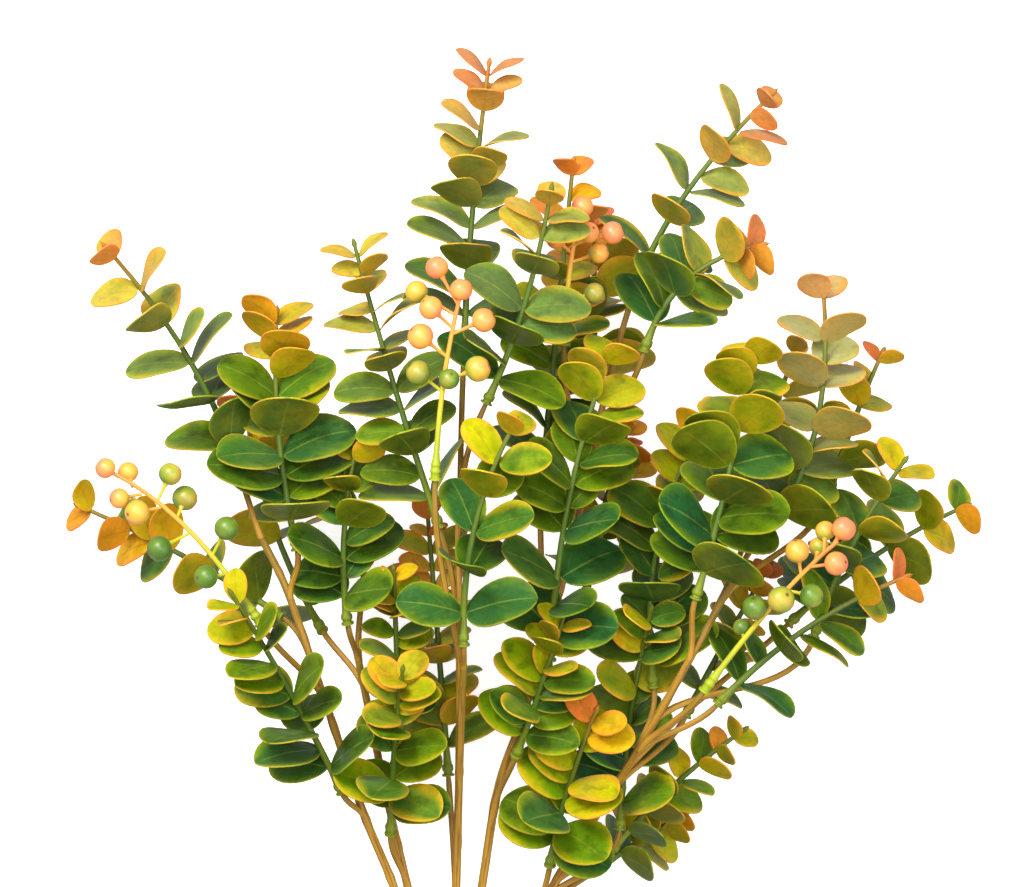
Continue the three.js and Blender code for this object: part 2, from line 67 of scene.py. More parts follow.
@dataclass(frozen=True)
class StalkSizes:
    """The gathered stalk: a short rod, flat below, that the stems' feet stand in."""

    radius: float = 8.4
    sides: int = 8
    foot: float = -42
    top: float = 8
    ring: float = 4.6

    @property
    def axis_height(self) -> float:
        """Height of the stalk's axis over its flat underside."""
        return self.radius * math.cos(math.pi / self.sides)


@dataclass(frozen=True)
class ShootSizes:
    """Lengths along a shoot, and the places of its first and last leaf pair."""

    bulb_at: float = 5.5
    neck_at: float = 13
    bud: float = 8
    first_pair: float = 16
    last_pair: float = 9
    sprig_middle: float = 0.52
    spray_middle: float = 0.55


@dataclass(frozen=True)
class BladeSizes:
    """How a blade of the solids leaves its stem.

    The two ends are corners of a blade, as a share of its length and of its half width. A leaf
    whose face dips below turned_back is one that shows its underside.
    """

    arch: float = 0.07
    root_at: float = 0.7
    lift: float = 1
    thickness: float = 0.8
    large: float = 22
    large_end: tuple[float, float] = (0.98, 0.5)
    small_end: tuple[float, float] = (1, 0)
    turned_back: float = -0.2


@dataclass(frozen=True)
class PairHabit:
    """How leaf pairs change from a sprig's foot to its tip, and how far each one may stray."""

    bunching: float = 0.14
    size: float = 1.06
    size_play: float = 0.14
    dwindling: float = 0.42
    quarter_turn: float = 90
    turn_play: float = 24
    pitch: float = 70
    pitch_drop: float = 12
    pitch_play: float = 14
    facing: float = 0.5
    facing_play: float = 0.9
    narrowing: float = 0.08


@dataclass(frozen=True)
class TwigSizes:
    """How a twig leaves its main stem and bends to a shoot's foot."""

    reach: float = 0.36
    splay: float = 0.6


STALK = StalkSizes()
SHOOT = ShootSizes()
BLADE = BladeSizes()
PAIR = PairHabit()
TWIG = TwigSizes()
STEM_START = 9.4

# Ways that a leaf may be bent clear of its neighbours: change of pitch, turn and size
BENDS = (
    (0, 0, 1), (-10, 0, 1), (9, 0, 1), (0, 16, 1), (0, -16, 1), (-12, 18, 0.95), (-12, -18, 0.95),
    (-22, 0, 0.95), (8, 30, 0.9), (8, -30, 0.9), (-24, 28, 0.85), (-24, -28, 0.85), (-30, 0, 0.75),
    (10, 0, 0.7), (-30, 35, 0.65), (-30, -35, 0.65),
)

# Spots on a leaf, as shares of its length and half width: round its outline, its middle, and the
# spots of which one is its lowest
OUTLINE = ((0.12, -0.5), (0.5, -1.05), (0.95, -0.6), (1.06, 0), (0.95, 0.6), (0.5, 1.05), (0.12, 0.5))
LEAF_MIDDLE = (0.5, 0)
LOW_SPOTS = ((0.5, -1), (0.5, 1), (1.06, 0), (0.9, 0.7), (0.9, -0.7))


class Stream(Enum):
    """What a stream of seeded draws is for, as the start of its seeds."""

    PAIRS = 1
    TONES = 101
    NUTS = 201
    FURTHER = 401


@dataclass(frozen=True)
class Branch:
    """A main stem: the angle of its hole in the stalk, and points from low to high."""

    hole: float
    path: tuple[tuple[float, float, float], ...]


@dataclass(frozen=True)
class Sprig:
    """A leafy sprig and its colours.

    Ripeness runs from 0, deep green, through yellow-green to 1, orange. Fill is how many further
    leaves are tried on each side between two leaf pairs: a share up to 1, and past that a second
    and a third one.
    """

    stem: str
    leaves_at: float
    foot: tuple[float, float, float]
    via: tuple[float, float, float]
    tip: tuple[float, float, float]
    pairs: int
    leaf: float
    breadth: float
    turn: float
    facing: float
    low: float
    high: float
    grey: float
    fill: float


@dataclass(frozen=True)
class NutSpray:
    """A spray of gum nuts: x, y, height over its stalk, diameter and ripeness of each."""

    stem: str
    leaves_at: float
    foot: tuple[float, float, float]
    via: tuple[float, float, float]
    tip: tuple[float, float, float]
    nuts: tuple[tuple[float, float, float, float, float], ...]


BRANCHES = {
    "stem_left": Branch(162, (
        (-14, 45, 24), (-29, 91, 46), (-44, 129, 66), (-64, 189, 84), (-81, 239, 92), (-94, 266, 94))),
    "stem_left_inner": Branch(234, (
        (-12, 50, 20), (-22, 91, 38), (-33, 140, 54), (-42, 185, 68), (-46, 205, 76))),
    "stem_centre": Branch(90, ((1, 45, 32), (3, 91, 56), (4.5, 145, 80), (6, 185, 104), (7, 202, 116))),
    "stem_right_inner": Branch(306, (
        (8, 45, 22), (16, 91, 42), (24, 140, 58), (36, 175, 70), (46, 209, 82), (55, 240, 87),
        (63, 270, 84), (74, 322, 73))),
    "stem_right": Branch(18, (
        (26, 45, 24), (52, 91, 47), (75, 130, 70), (95, 162, 94), (120, 207, 111), (142, 247, 104))),
}

LEFT, LEFT_IN, CENTRE, RIGHT_IN, RIGHT = BRANCHES
SPRIGS = (
    Sprig(CENTRE, 110, (7, 362, 82), (10, 435, 84), (20, 506, 92),
          7, 28, 0.82, 8, 0.35, 0.14, 0.95, 0.45, 0.5),
    Sprig(RIGHT_IN, 322, (95, 396, 60), (112, 441, 64), (164, 491, 74),
          6, 27, 0.78, 10, 0.25, 0.12, 0.9, 0.5, 0.35),
    Sprig(LEFT, 266, (-105, 299, 95), (-123, 358, 98), (-173, 413, 112),
          6, 29, 0.86, 24, 0.35, 0.14, 0.9, 0.3, 0.15),
    Sprig(RIGHT, 247, (157, 269, 93), (195, 312, 88), (186, 397, 84),
          6, 29, 0.95, 38, 0.5, 0.22, 0.95, 1, 0.25),
    Sprig(RIGHT, 150, (170, 222, 44), (214, 262, 34), (263, 283, 36),
          5, 28, 0.88, 48, 0.9, 0.04, 0.5, 0, 0),
    Sprig(RIGHT, 159, (133, 183, 105), (175, 228, 112), (230, 248, 108),
          5, 26, 0.9, 20, 0.6, 0.08, 0.85, 0, 0.3),
    Sprig(CENTRE, 183, (18, 333, 120), (40, 377, 126), (51, 442, 136),
          6, 29, 0.82, 4, 0.8, 0.1, 0.62, 0.3, 0.35),
    Sprig(RIGHT_IN, 207, (46, 291, 74), (53, 372, 70), (62, 457, 80),
          6, 26, 0.8, 30, 0.5, 0.12, 0.8, 0, 0.7),
    Sprig(CENTRE, 150, (-5, 271, 114), (-29, 342, 118), (-48, 415, 122),
          7, 28, 0.8, 12, 0.25, 0.16, 0.62, 0.2, 0.9),
    Sprig(CENTRE, 202, (7, 213, 131), (5, 276, 146), (34, 326, 152),
          6, 30, 0.8, 14, 1, 0.02, 0.6, 0, 0.2),
    Sprig(LEFT, 236, (-76, 260, 102), (-90, 320, 108), (-86, 382, 100),
          6, 32, 0.98, 68, 0.9, 0.04, 0.72, 0, 0.9),
    Sprig(LEFT_IN, 205, (-51, 223, 92), (-57, 265, 104), (-46, 315, 108),
          5, 29, 0.86, 52, 1, 0.02, 0.55, 0, 1),
    Sprig(LEFT_IN, 192, (-64, 219, 62), (-97, 272, 15.5), (-105, 337, 14.3),
          4, 27, 0.86, 40, 0.5, 0.3, 1, 0, 0.5),
    Sprig(LEFT, 190, (-84, 226, 66), (-130, 258, 50), (-190, 283, 46),
          5, 25, 0.84, 35, 0.8, 0.3, 0.8, 0, 0.3),
    Sprig(LEFT, 126, (-54, 138, 76), (-78, 190, 92), (-110, 241, 116),
          6, 28, 0.86, 44, 0.7, 0.12, 0.52, 0, 1.3),
    Sprig(LEFT_IN, 91, (-30, 117, 62), (-29, 162, 92), (-23, 203, 118),
          6, 27, 0.86, 22, 0.5, 0.22, 0.58, 0, 0.7),
    Sprig(LEFT_IN, 140, (-25, 168, 72), (-27, 215, 92), (-28, 253, 104),
          4, 20, 0.85, 60, 0.4, 0.2, 0.6, 0, 2),
    Sprig(CENTRE, 80, (-1, 146, 56), (-6, 215, 62), (-12, 285, 64),
          4, 26, 0.78, 16, 0.5, 0.3, 0.75, 0.15, 3),
    Sprig(RIGHT_IN, 132, (33, 157, 84), (44, 186, 112), (58, 231, 120),
          5, 24, 0.78, 20, 0.6, 0.2, 0.6, 0, 1.6),
    Sprig(RIGHT_IN, 190, (50, 205, 104), (53, 287, 128), (81, 362, 126),
          7, 31, 0.92, 50, 0.8, 0.06, 0.5, 0, 0.6),
    Sprig(RIGHT_IN, 222, (68, 236, 66), (73, 275, 58), (92, 328, 60),
          4, 22, 0.85, 30, 0.5, 0.3, 0.7, 0, 3),
    Sprig(RIGHT_IN, 268, (70, 335, 42), (76, 385, 16.5), (70, 432, 20),
          4, 27, 0.82, 34, 0.5, 0.32, 0.85, 0.1, 2),
    Sprig(RIGHT_IN, 308, (97, 359, 92), (110, 405, 98), (159, 413, 98),
          5, 28, 0.9, 46, 0.7, 0.1, 0.95, 0.2, 0.4),
    Sprig(RIGHT, 206, (122, 236, 124), (139, 290, 132), (151, 364, 122),
          7, 32, 0.98, 56, 1.1, 0.05, 0.54, 0, 0.4),
    Sprig(RIGHT, 158, (102, 191, 82), (91, 270, 92), (132, 331, 104),
          6, 30, 0.92, 14, 0.7, 0.1, 0.7, 0, 0.9),
    Sprig(RIGHT, 92, (85, 119, 62), (88, 177, 62), (101, 233, 100),
          6, 28, 0.95, 46, 1, 0.03, 0.55, 0, 0.7),
    Sprig(RIGHT, 66, (50, 101, 58), (55, 135, 80), (74, 183, 106),
          5, 28, 0.92, 26, 0.7, 0.2, 0.85, 0, 0.9),
    Sprig(RIGHT, 84, (80, 107, 52), (108, 142, 50), (150, 171, 60),
          4, 21, 0.82, 40, 0.7, 0.24, 0.6, 0, 0.8),
    Sprig(RIGHT, 76, (74, 98, 30), (94, 112, 26), (122, 128, 28),
          3, 20, 0.9, 50, 0.8, 0.3, 0.8, 0, 0.9),
    Sprig(RIGHT, 140, (118, 176, 62), (138, 215, 56), (162, 255, 62),
          4, 22, 0.85, 24, 0.6, 0.3, 0.8, 0, 0.8),
    Sprig(RIGHT, 176, (182, 216, 78), (198, 265, 80), (229, 307, 88),
          5, 26, 0.92, 36, 0.7, 0.12, 0.6, 0, 0.25),
    Sprig(RIGHT, 226, (150, 274, 54), (160, 322, 13.5), (177, 367, 13.5),
          4, 22, 0.8, 10, 0.4, 0.25, 0.7, 0, 0.6),
    Sprig(RIGHT, 236, (190, 288, 62), (204, 330, 48), (219, 362, 46),
          3, 21, 0.85, 40, 0.5, 0.3, 0.8, 0, 0.4),
)

NUT_SPRAYS = (
    NutSpray(LEFT, 186, (-94, 223, 104), (-128, 279, 112), (-168, 299, 116), (
        (-171, 301, 1, 10.4, 0.7), (-160, 299, -5, 10.4, 0.8), (-164, 286, 4, 10.4, 0.75),
        (-155, 279, 8, 12.6, 0.65), (-139, 298, -1, 11.6, 0.4), (-132, 286, -8, 12.8, 0.3),
        (-144, 261, 7, 12.8, 0.15), (-111, 271, 5, 12.2, 0.15), (-121, 247, 7, 12, 0.15))),
    NutSpray(CENTRE, 190, (-7, 295, 146), (-5, 344, 152), (5, 384, 157), (
        (6, 389, 1, 11.2, 0.95), (-6, 400, -3, 11.4, 0.95), (-16, 388, -6, 11.6, 0.65),
        (-9, 380, 6, 11.8, 0.75), (-14, 366, 5, 13, 0.75), (17, 374, 3, 12, 0.9),
        (-15, 348, 3, 12.6, 0.15), (0, 345, 9, 10.4, 0.15), (14, 350, 3, 13, 0.55))),
    NutSpray(RIGHT, 160, (126, 190, 124), (162, 240, 136), (192, 265, 144), (
        (195, 271, 1, 12, 0.95), (186, 270, -6, 10, 0.6), (172, 260, 3, 12, 0.65), (191, 254, 7, 12, 0.95),
        (183, 262, -9, 10, 0.5), (164, 236, 8, 13.6, 0.35), (179, 238, 4, 12, 0.25),
        (151, 232, 6, 12.4, 0.1), (145, 222, -3, 9, 0.1))),
    NutSpray(RIGHT_IN, 282, (57, 362, 102), (58, 400, 106), (65, 427, 112), (
        (66, 431, 1, 11, 0.9), (69, 418, 9, 10.6, 0.7), (81, 418, 2, 11.4, 0.8), (74, 408, 3, 10.4, 0.7),
        (53, 415, 0, 10.2, 0.9), (72, 388, 2, 10.6, 0.2))),
    NutSpray(RIGHT_IN, 242, (69, 267, 79), (84, 271, 80), (101, 283, 78), (
        (103, 284, 1, 9.4, 0.9), (87, 287, 2, 8.4, 0.8), (88, 267, 1, 10, 0.6))),
    NutSpray(LEFT_IN, 203, (-49, 278, 74), (-55, 290, 76), (-60, 297, 78), (
        (-62, 300, 1, 10.8, 0.95), (-66, 286, -2, 9.4, 0.9))),
)


# Curves


class Curve:
    """A curve in space, read at t from 0 to 1."""

    def at(self, t: float) -> Vector:
        """The point at t."""
        raise NotImplementedError

    def tangent(self, t: float, step: float = 1e-4) -> Vector:
        """The forward direction at t."""
        low, high = max(t - step, 0), min(t + step, 1)
        return (self.at(high) - self.at(low)).normalized()

    def station(self, t: float) -> "Station":
        """The place at t, with its directions.

        Args:
            t: From 0 at the foot to 1 at the tip.

        Returns:
            The station.
        """
        forward = self.tangent(t)
        side = forward.cross(UP).normalized()
        return Station(self.at(t), forward, side, side.cross(forward))


@dataclass
class Station:
    """A place along a curve, with the directions that a ring or a leaf is set out in."""

    origin: Vector
    forward: Vector
    side: Vector
    front: Vector

    def around(self, angle: float) -> Vector:
        """The direction across the curve at an angle in radians."""
        return self.side * math.cos(angle) + self.front * math.sin(angle)


@dataclass
class Bezier(Curve):
    """A Bezier curve through three or four control points."""

    controls: tuple[Vector, ...]

    def at(self, t: float) -> Vector:
        """The point at t, found by drawing the list of points together one by one.

        Args:
            t: From 0 to 1.

        Returns:
            The point.
        """
        points = list(self.controls)
        while len(points) > 1:
            points = [a.lerp(b, t) for a, b in zip(points, points[1:])]
        return points[0]

    def length(self) -> float:
        """Rough length of a curve of three control points."""
        a, b, c = self.controls
        return ((b - a).length + (c - b).length + (c - a).length) / 2


@dataclass
class Spline(Curve):
    """A smooth curve through a list of points, with a tension of one half."""

    points: list[Vector]

    def at(self, t: float) -> Vector:
        """The point at t.

        Args:
            t: From 0 to 1, the same share to each stretch between two points.

        Returns:
            The point.
        """
        last = len(self.points) - 1
        place = last * t
        i = min(int(place), last - 1)
        u = place - i
        p1, p2 = self.points[i], self.points[i + 1]
        p0 = self.points[i - 1] if i > 0 else p1 * 2 - p2
        p3 = self.points[i + 2] if i + 2 <= last else p2 * 2 - p1
        m1, m2 = (p2 - p0) / 2, (p3 - p1) / 2
        return (
            p1 * (2 * u**3 - 3 * u**2 + 1)
            + m1 * (u**3 - 2 * u**2 + u)
            + p2 * (3 * u**2 - 2 * u**3)
            + m2 * (u**3 - u**2)
        )

    def where(self, y: float, halvings: int = 30) -> float:
        """The place at which a rising curve passes a height on the Y axis.

        Args:
            y: The height.
            halvings: How often the search halves its range.

        Returns:
            The t of that place.
        """
        low, high = 0.0, 1.0
        for _ in range(halvings):
            middle = (low + high) / 2
            low, high = (middle, high) if self.at(middle).y < y else (low, middle)
        return (low + high) / 2


def seeded_draws(stream: Stream, index: int) -> Iterator[float]:
    """A repeatable stream of numbers from 0 to 1, the same as the solids draw.

    Args:
        stream: What the numbers are for.
        index: Which sprig or spray they are for, from 0.

    Returns:
        An endless iterator of numbers.
    """
    factor, shift, span = 1664525, 1013904223, 4294967296
    state = (index + stream.value) * 7919 + 17
    while True:
        state = (state * factor + shift) % span
        yield state / span


def mix(a: float, b: float, share: float) -> float:
    """A number a share of the way from a to b."""
    return a + (b - a) * share


def hole_centre(degrees: float) -> Vector:
    """Middle of a stem's hole at the stalk's upper end.

    Args:
        degrees: The hole's angle round the stalk's axis.

    Returns:
        The point.
    """
    angle = math.radians(degrees)
    height = STALK.axis_height + STALK.ring * math.sin(angle)
    return Vector((STALK.ring * math.cos(angle), STALK.top, height))


def branch_curve(branch: Branch) -> Spline:
    """The centre line of a main stem above the stalk."""
    start = hole_centre(branch.hole) + Vector((0, STEM_START - STALK.top, 0))
    return Spline([start, *map(Vector, branch.path)])


def shoot_curve(shoot: Sprig | NutSpray) -> Bezier:
    """The centre line of a leafy sprig or a nut spray."""
    return Bezier((Vector(shoot.foot), Vector(shoot.via), Vector(shoot.tip)))


def shoot_stops(shoot: Sprig | NutSpray) -> list[float]:
    """The places along a shoot where the solid's straight stretches meet.

    Args:
        shoot: The sprig or the spray.

    Returns:
        The places, from 0 at the foot to 1 at the tip.
    """
    length = shoot_curve(shoot).length()
    socket = [0, SHOOT.bulb_at / length, SHOOT.neck_at / length]
    if isinstance(shoot, NutSpray):
        return [*socket, SHOOT.spray_middle, 1]
    return [*socket, SHOOT.sprig_middle, 1 - SHOOT.bud / length, 1]


def shoot_station(shoot: Sprig | NutSpray, t: float) -> Station:
    """The place at t along a shoot, set on the solid's straight stretch.

    Args:
        shoot: The sprig or the spray.
        t: From 0 at its foot to 1 at its tip.

    Returns:
        The station, whose directions are those of the smooth curve.
    """
    curve = shoot_curve(shoot)
    stops = shoot_stops(shoot)
    above = next((i for i, stop in enumerate(stops) if stop >= t and i > 0), len(stops) - 1)
    low, high = stops[above - 1], stops[above]
    station = curve.station(t)
    station.origin = curve.at(low).lerp(curve.at(high), (t - low) / (high - low))
    return station


# Leaves


@dataclass
class LeafPair:
    """Where two opposite leaves sit on a sprig, and how they are turned and pitched."""

    t: float
    size: float
    turn: float
    pitch: float
    facing: float
    stretch: float
    share: float


@dataclass
class Leaf:
    """One leaf: the directions it is set out in, and its size."""

    root: Vector
    along: Vector
    across: Vector
    face: Vector
    length: float
    half_width: float
    share: float

    def spot(self, lengthwise: float, sideways: float, lift: float = 0) -> Vector:
        """A point of the solid's blade.

        Args:
            lengthwise: Share of the length, from the root.
            sideways: Share of the half width, from the midrib.
            lift: Height over the blade's middle plane.

        Returns:
            The point.
        """
        raised = BLADE.arch * self.length * math.sin(math.pi * lengthwise) + lift
        flat = self.root + self.along * self.length * lengthwise + self.across * self.half_width * sideways
        return flat + self.face * raised

    def sheets(self, gap: float) -> BVHTree:
        """Three sheets through and beside the leaf, to test what it would cross.

        Args:
            gap: How far the outer sheets lie from the middle one.

        Returns:
            The sheets in a search tree.
        """
        count = len(OUTLINE)
        points, faces = [], []
        for lift in (-gap, 0, gap):
            first = len(points)
            points += [self.spot(*spot, lift) for spot in (*OUTLINE, LEAF_MIDDLE)]
            faces += [(first + i, first + (i + 1) % count, first + count) for i in range(count)]
        return BVHTree.FromPolygons(points, faces)

    def lowest(self) -> float:
        """Height of the leaf's lowest point."""
        return min(self.spot(*spot).z for spot in LOW_SPOTS)


def leaf_pairs(sprig: Sprig, index: int) -> list[LeafPair]:
    """The leaf pairs of a sprig, in the order in which the solids draw them.

    Args:
        sprig: The sprig.
        index: Its place in the list, from 0.

    Returns:
        The pairs from low to high.
    """
    draw = seeded_draws(Stream.PAIRS, index)
    length = shoot_curve(sprig).length()
    first, last = SHOOT.first_pair / length, 1 - SHOOT.last_pair / length
    pairs = []
    for i in range(sprig.pairs):
        share = i / (sprig.pairs - 1)
        pairs.append(LeafPair(
            t=first + (last - first) * share * (1 + PAIR.bunching * (1 - share)),
            size=sprig.leaf * (PAIR.size + PAIR.size_play * next(draw)) * (1 - PAIR.dwindling * share**2),
            turn=sprig.turn + PAIR.quarter_turn * i + PAIR.turn_play * (next(draw) - 0.5),
            pitch=PAIR.pitch - PAIR.pitch_drop * share + PAIR.pitch_play * (next(draw) - 0.5),
            facing=sprig.facing * (PAIR.facing + PAIR.facing_play * next(draw)),
            stretch=sprig.breadth * (1 - PAIR.narrowing * share),
            share=share,
        ))
    return pairs


def set_leaf(station: Station, pair: LeafPair, side: int, bend: Sequence[float]) -> Leaf:
    """Sets out one leaf of a pair.

    Args:
        station: Its place on the sprig.
        pair: The pair that it belongs to.
        side: 0 or 1.
        bend: Change of pitch, turn and size that keeps it clear of its neighbours.

    Returns:
        The leaf.
    """
    more_pitch, more_turn, size = bend
    outward = station.around(math.radians(pair.turn + 180 * side + more_turn))
    pitch = math.radians(pair.pitch + more_pitch - BLADE.lift * abs(outward.z))
    along = station.forward * math.cos(pitch) + outward * math.sin(pitch)
    face = station.forward * math.sin(pitch) - outward * math.cos(pitch)
    face = face + UP * (-pair.facing if face.z < BLADE.turned_back else pair.facing)
    face = (face - along * face.dot(along)).normalized()
    length = pair.size * size
    root = station.origin + outward * BLADE.root_at
    return Leaf(root, along, face.cross(along), face, length, length * pair.stretch / 2, pair.share)


@dataclass(frozen=True)
class LeafTone:
    """The colour numbers of one leaf: ripeness, a random number and greyness."""

    ripeness: float
    chance: float
    grey: float

    def numbers(self, is_underside: bool) -> tuple[float, float, float, float]:
        """The four numbers of the tone attribute on one of the leaf's two sides."""
        return self.ripeness, self.chance, float(is_underside), self.grey


@dataclass(frozen=True)
class Ripple:
    """The waves and the cup of one leaf: where its waves start, their size, and the cup's size."""

    phase: float
    wave: float
    curl: float


@dataclass(frozen=True)
class LeafShape:
    """The outline, cup and waves of a leaf.

    Where a field has two numbers, a leaf's own value is drawn between them.
    """

    columns: int = 14
    rows: int = 6
    thickness: float = 0.7
    reach: float = 1.06
    fullness: float = 0.55
    breadth: float = 1.04
    taper: float = 0.08
    cup: float = 0.07
    cup_level: float = 0.25
    levelling: float = 0.8
    root_stretch: float = 0.25
    wave: float = 0.035
    waves_along: float = 5
    waves_across: float = 2.5
    hook: float = 0.03
    phases: tuple[float, float] = (0, 6.28)
    wave_range: tuple[float, float] = (0.4, 1.0)
    curl_range: tuple[float, float] = (0.3, 2.0)

    def half(self, lengthwise: float) -> float:
        """Share of the half width at a share of the length."""
        ellipse = max(4 * lengthwise * (1 - lengthwise), 0) ** self.fullness
        return self.breadth * ellipse * (1 + self.taper * (2 * lengthwise - 1))

    def ripple(self, draw: Iterator[float]) -> Ripple:
        """Draws the waves and the cup of one leaf."""
        return Ripple(*(mix(*span, next(draw)) for span in (self.phases, self.wave_range, self.curl_range)))

    def spot(self, leaf: Leaf, lengthwise: float, sideways: float, ripple: Ripple) -> Vector:
        """A point of the leaf's face.

        Args:
            leaf: Where the leaf is set out.
            lengthwise: Share of the length, evenly spaced.
            sideways: From -1 at one rim to 1 at the other.
            ripple: The leaf's own waves and cup.

        Returns:
            The point.
        """
        along = (1 - math.cos(math.pi * lengthwise)) / 2
        half = self.half(along)
        arch = BLADE.arch * leaf.length * math.sin(math.pi * along * self.reach)
        rise = leaf.half_width * self.cup * ripple.curl * ((sideways * half) ** 2 - self.cup_level)
        rise -= self.levelling * abs(leaf.along.z) * arch
        rise -= leaf.length * self.hook * ripple.curl * along**4
        rise *= min(along / self.root_stretch, 1)
        waves = math.sin(ripple.phase + self.waves_along * along + self.waves_across * sideways)
        rise += leaf.length * self.wave * ripple.wave * waves * abs(sideways) * half
        return leaf.spot(along * self.reach, sideways * half, rise)


# Meshes


@dataclass(frozen=True)
class NutShape:
    """A smooth gum nut of radius 1, a little narrower at its stalk, with a dimple at its far end."""

    columns: int = 20
    rows: int = 14
    narrowing: float = 0.07
    dimple: float = 0.1
    dimple_width: float = 0.03

    def radius(self, height: float) -> float:
        """Share of the radius at a height.

        Args:
            height: From -1 at the stalk to 1 at the far end.

        Returns:
            The share.
        """
        narrowed = 1 - self.narrowing * max(-height, 0) ** 3
        if height <= 0.5:
            return narrowed
        return narrowed * (1 - self.dimple * math.exp(-(((1 - height) / self.dimple_width) ** 2)))


def faces_of(verts: Sequence[bmesh.types.BMVert]) -> list[bmesh.types.BMFace]:
    """The faces that touch some vertices, in a fixed order."""
    return list(dict.fromkeys(face for vert in verts for face in vert.link_faces))


@dataclass
class PieceMesh:
    """Collects the tubes, leaves and nuts of one piece in one mesh.

    The tone attribute holds ripeness or the share along a tube, a random number, whether the spot
    is on a leaf's underside or how high it is on a nut, and greyness.
    """

    mesh: bmesh.types.BMesh = field(default_factory=bmesh.new)
    map_scale: float = 0.01
    merge_gap: float = 1e-5
    leaf_end_gap: float = 1e-3
    leaf_end_at: float = 0.999
    sharp_edge: float = 55

    def __post_init__(self) -> None:
        """Adds the map and the attribute that the finishes read."""
        self.uv = self.mesh.loops.layers.uv.new("along")
        self.tone = self.mesh.verts.layers.float_color.new("tone")

    def sheet(self, columns: int, rows: int, slot: int) -> tuple[list, list]:
        """A grid of faces whose map runs from 0 to 1 both ways.

        Args:
            columns: Faces along its first direction.
            rows: Faces along its second direction.
            slot: Material slot of its faces.

        Returns:
            Its vertices and its faces.
        """
        verts = bmesh.ops.create_grid(self.mesh, x_segments=columns, y_segments=rows, size=1)["verts"]
        faces = faces_of(verts)
        for face in faces:
            face.material_index = slot
            face.smooth = True
            for loop in face.loops:
                loop[self.uv].uv = ((loop.vert.co.x + 1) / 2, (loop.vert.co.y + 1) / 2)
        return verts, faces

    def tube(
        self,
        stations: Sequence[Station],
        radii: Sequence[float],
        slot: int = 0,
        sides: int = 10,
        tone: tuple[float, float] = (0, 1),
        chance: float = 0.5,
    ) -> None:
        """A round closed tube through a list of stations.

        Args:
            stations: The rings' places.
            radii: The rings' radii.
            slot: Material slot of its faces.
            sides: Faces round it.
            tone: The tone at its first and its last ring.
            chance: Its random number.
        """
        rings = len(stations) - 1
        verts, faces = self.sheet(sides, rings, slot)
        walked = [0.0]
        for a, b in zip(stations, stations[1:]):
            walked.append(walked[-1] + (b.origin - a.origin).length)
        for loop in (loop for face in faces for loop in face.loops):
            u, v = loop[self.uv].uv
            loop[self.uv].uv = (u, walked[round(v * rings)] * self.map_scale)
        for vert in verts:
            ring = round((vert.co.y + 1) / 2 * rings)
            turn = round((vert.co.x + 1) / 2 * sides) % sides
            station = stations[ring]
            vert[self.tone] = (mix(*tone, walked[ring] / walked[-1]), chance, 0, 0)
            vert.co = station.origin + station.around(2 * math.pi * turn / sides) * radii[ring]
        bmesh.ops.remove_doubles(self.mesh, verts=verts, dist=self.merge_gap)
        faces = [face for face in faces if face.is_valid]
        edges = dict.fromkeys(edge for face in faces for edge in face.edges if edge.is_boundary)
        caps = bmesh.ops.holes_fill(self.mesh, edges=list(edges), sides=sides)["faces"]
        for cap in caps:
            cap.material_index = slot
        bmesh.ops.recalc_face_normals(self.mesh, faces=faces + caps)

    def leaf(self, leaf: Leaf, shape: LeafShape, tone: LeafTone, ripple: Ripple) -> None:
        """A cupped leaf with a small thickness.

        Args:
            leaf: Where it is set out.
            shape: Its outline and its curves.
            tone: Its colour numbers.
            ripple: Its own waves and cup.
        """
        verts, _ = self.sheet(shape.columns, shape.rows, 0)
        ends = [vert for vert in verts if abs(vert.co.x) > self.leaf_end_at]
        for vert in verts:
            vert[self.tone] = tone.numbers(is_underside=False)
            vert.co = shape.spot(leaf, (vert.co.x + 1) / 2, vert.co.y, ripple)
        bmesh.ops.remove_doubles(self.mesh, verts=ends, dist=self.leaf_end_gap)
        verts = [vert for vert in verts if vert.is_valid]
        faces = faces_of(verts)
        bmesh.ops.recalc_face_normals(self.mesh, faces=faces)
        if sum((face.normal for face in faces), Vector()).dot(leaf.face) < 0:
            bmesh.ops.reverse_faces(self.mesh, faces=faces)
        made = bmesh.ops.solidify(self.mesh, geom=faces, thickness=shape.thickness)["geom"]
        for face in (item for item in made if isinstance(item, bmesh.types.BMFace)):
            face.smooth = True
            face.material_index = 0
        for vert in (item for item in made if isinstance(item, bmesh.types.BMVert)):
            vert[self.tone] = tone.numbers(is_underside=True)
            verts.append(vert)
        for vert in verts:
            vert.co.z = max(vert.co.z, SURFACE)

    def nut(self, centre: Vector, forward: Vector, radius: float, ripeness: float, chance: float) -> None:
        """A gum nut.

        Args:
            centre: Its middle.
            forward: From its stalk to its far end.
            radius: Its radius.
            ripeness: From 0, green, to 1, orange.
            chance: Its random number.
        """
        shape = NutShape()
        verts = bmesh.ops.create_uvsphere(
            self.mesh, u_segments=shape.columns, v_segments=shape.rows, radius=1)["verts"]
        turn = forward.to_track_quat("Z", "Y").to_matrix()
        for vert in verts:
            height = vert.co.z
            vert[self.tone] = (ripeness, chance, (height + 1) / 2, 0)
            vert.co = centre + turn @ (vert.co * radius * shape.radius(height))
        for face in faces_of(verts):
            face.smooth = True
            face.material_index = 1

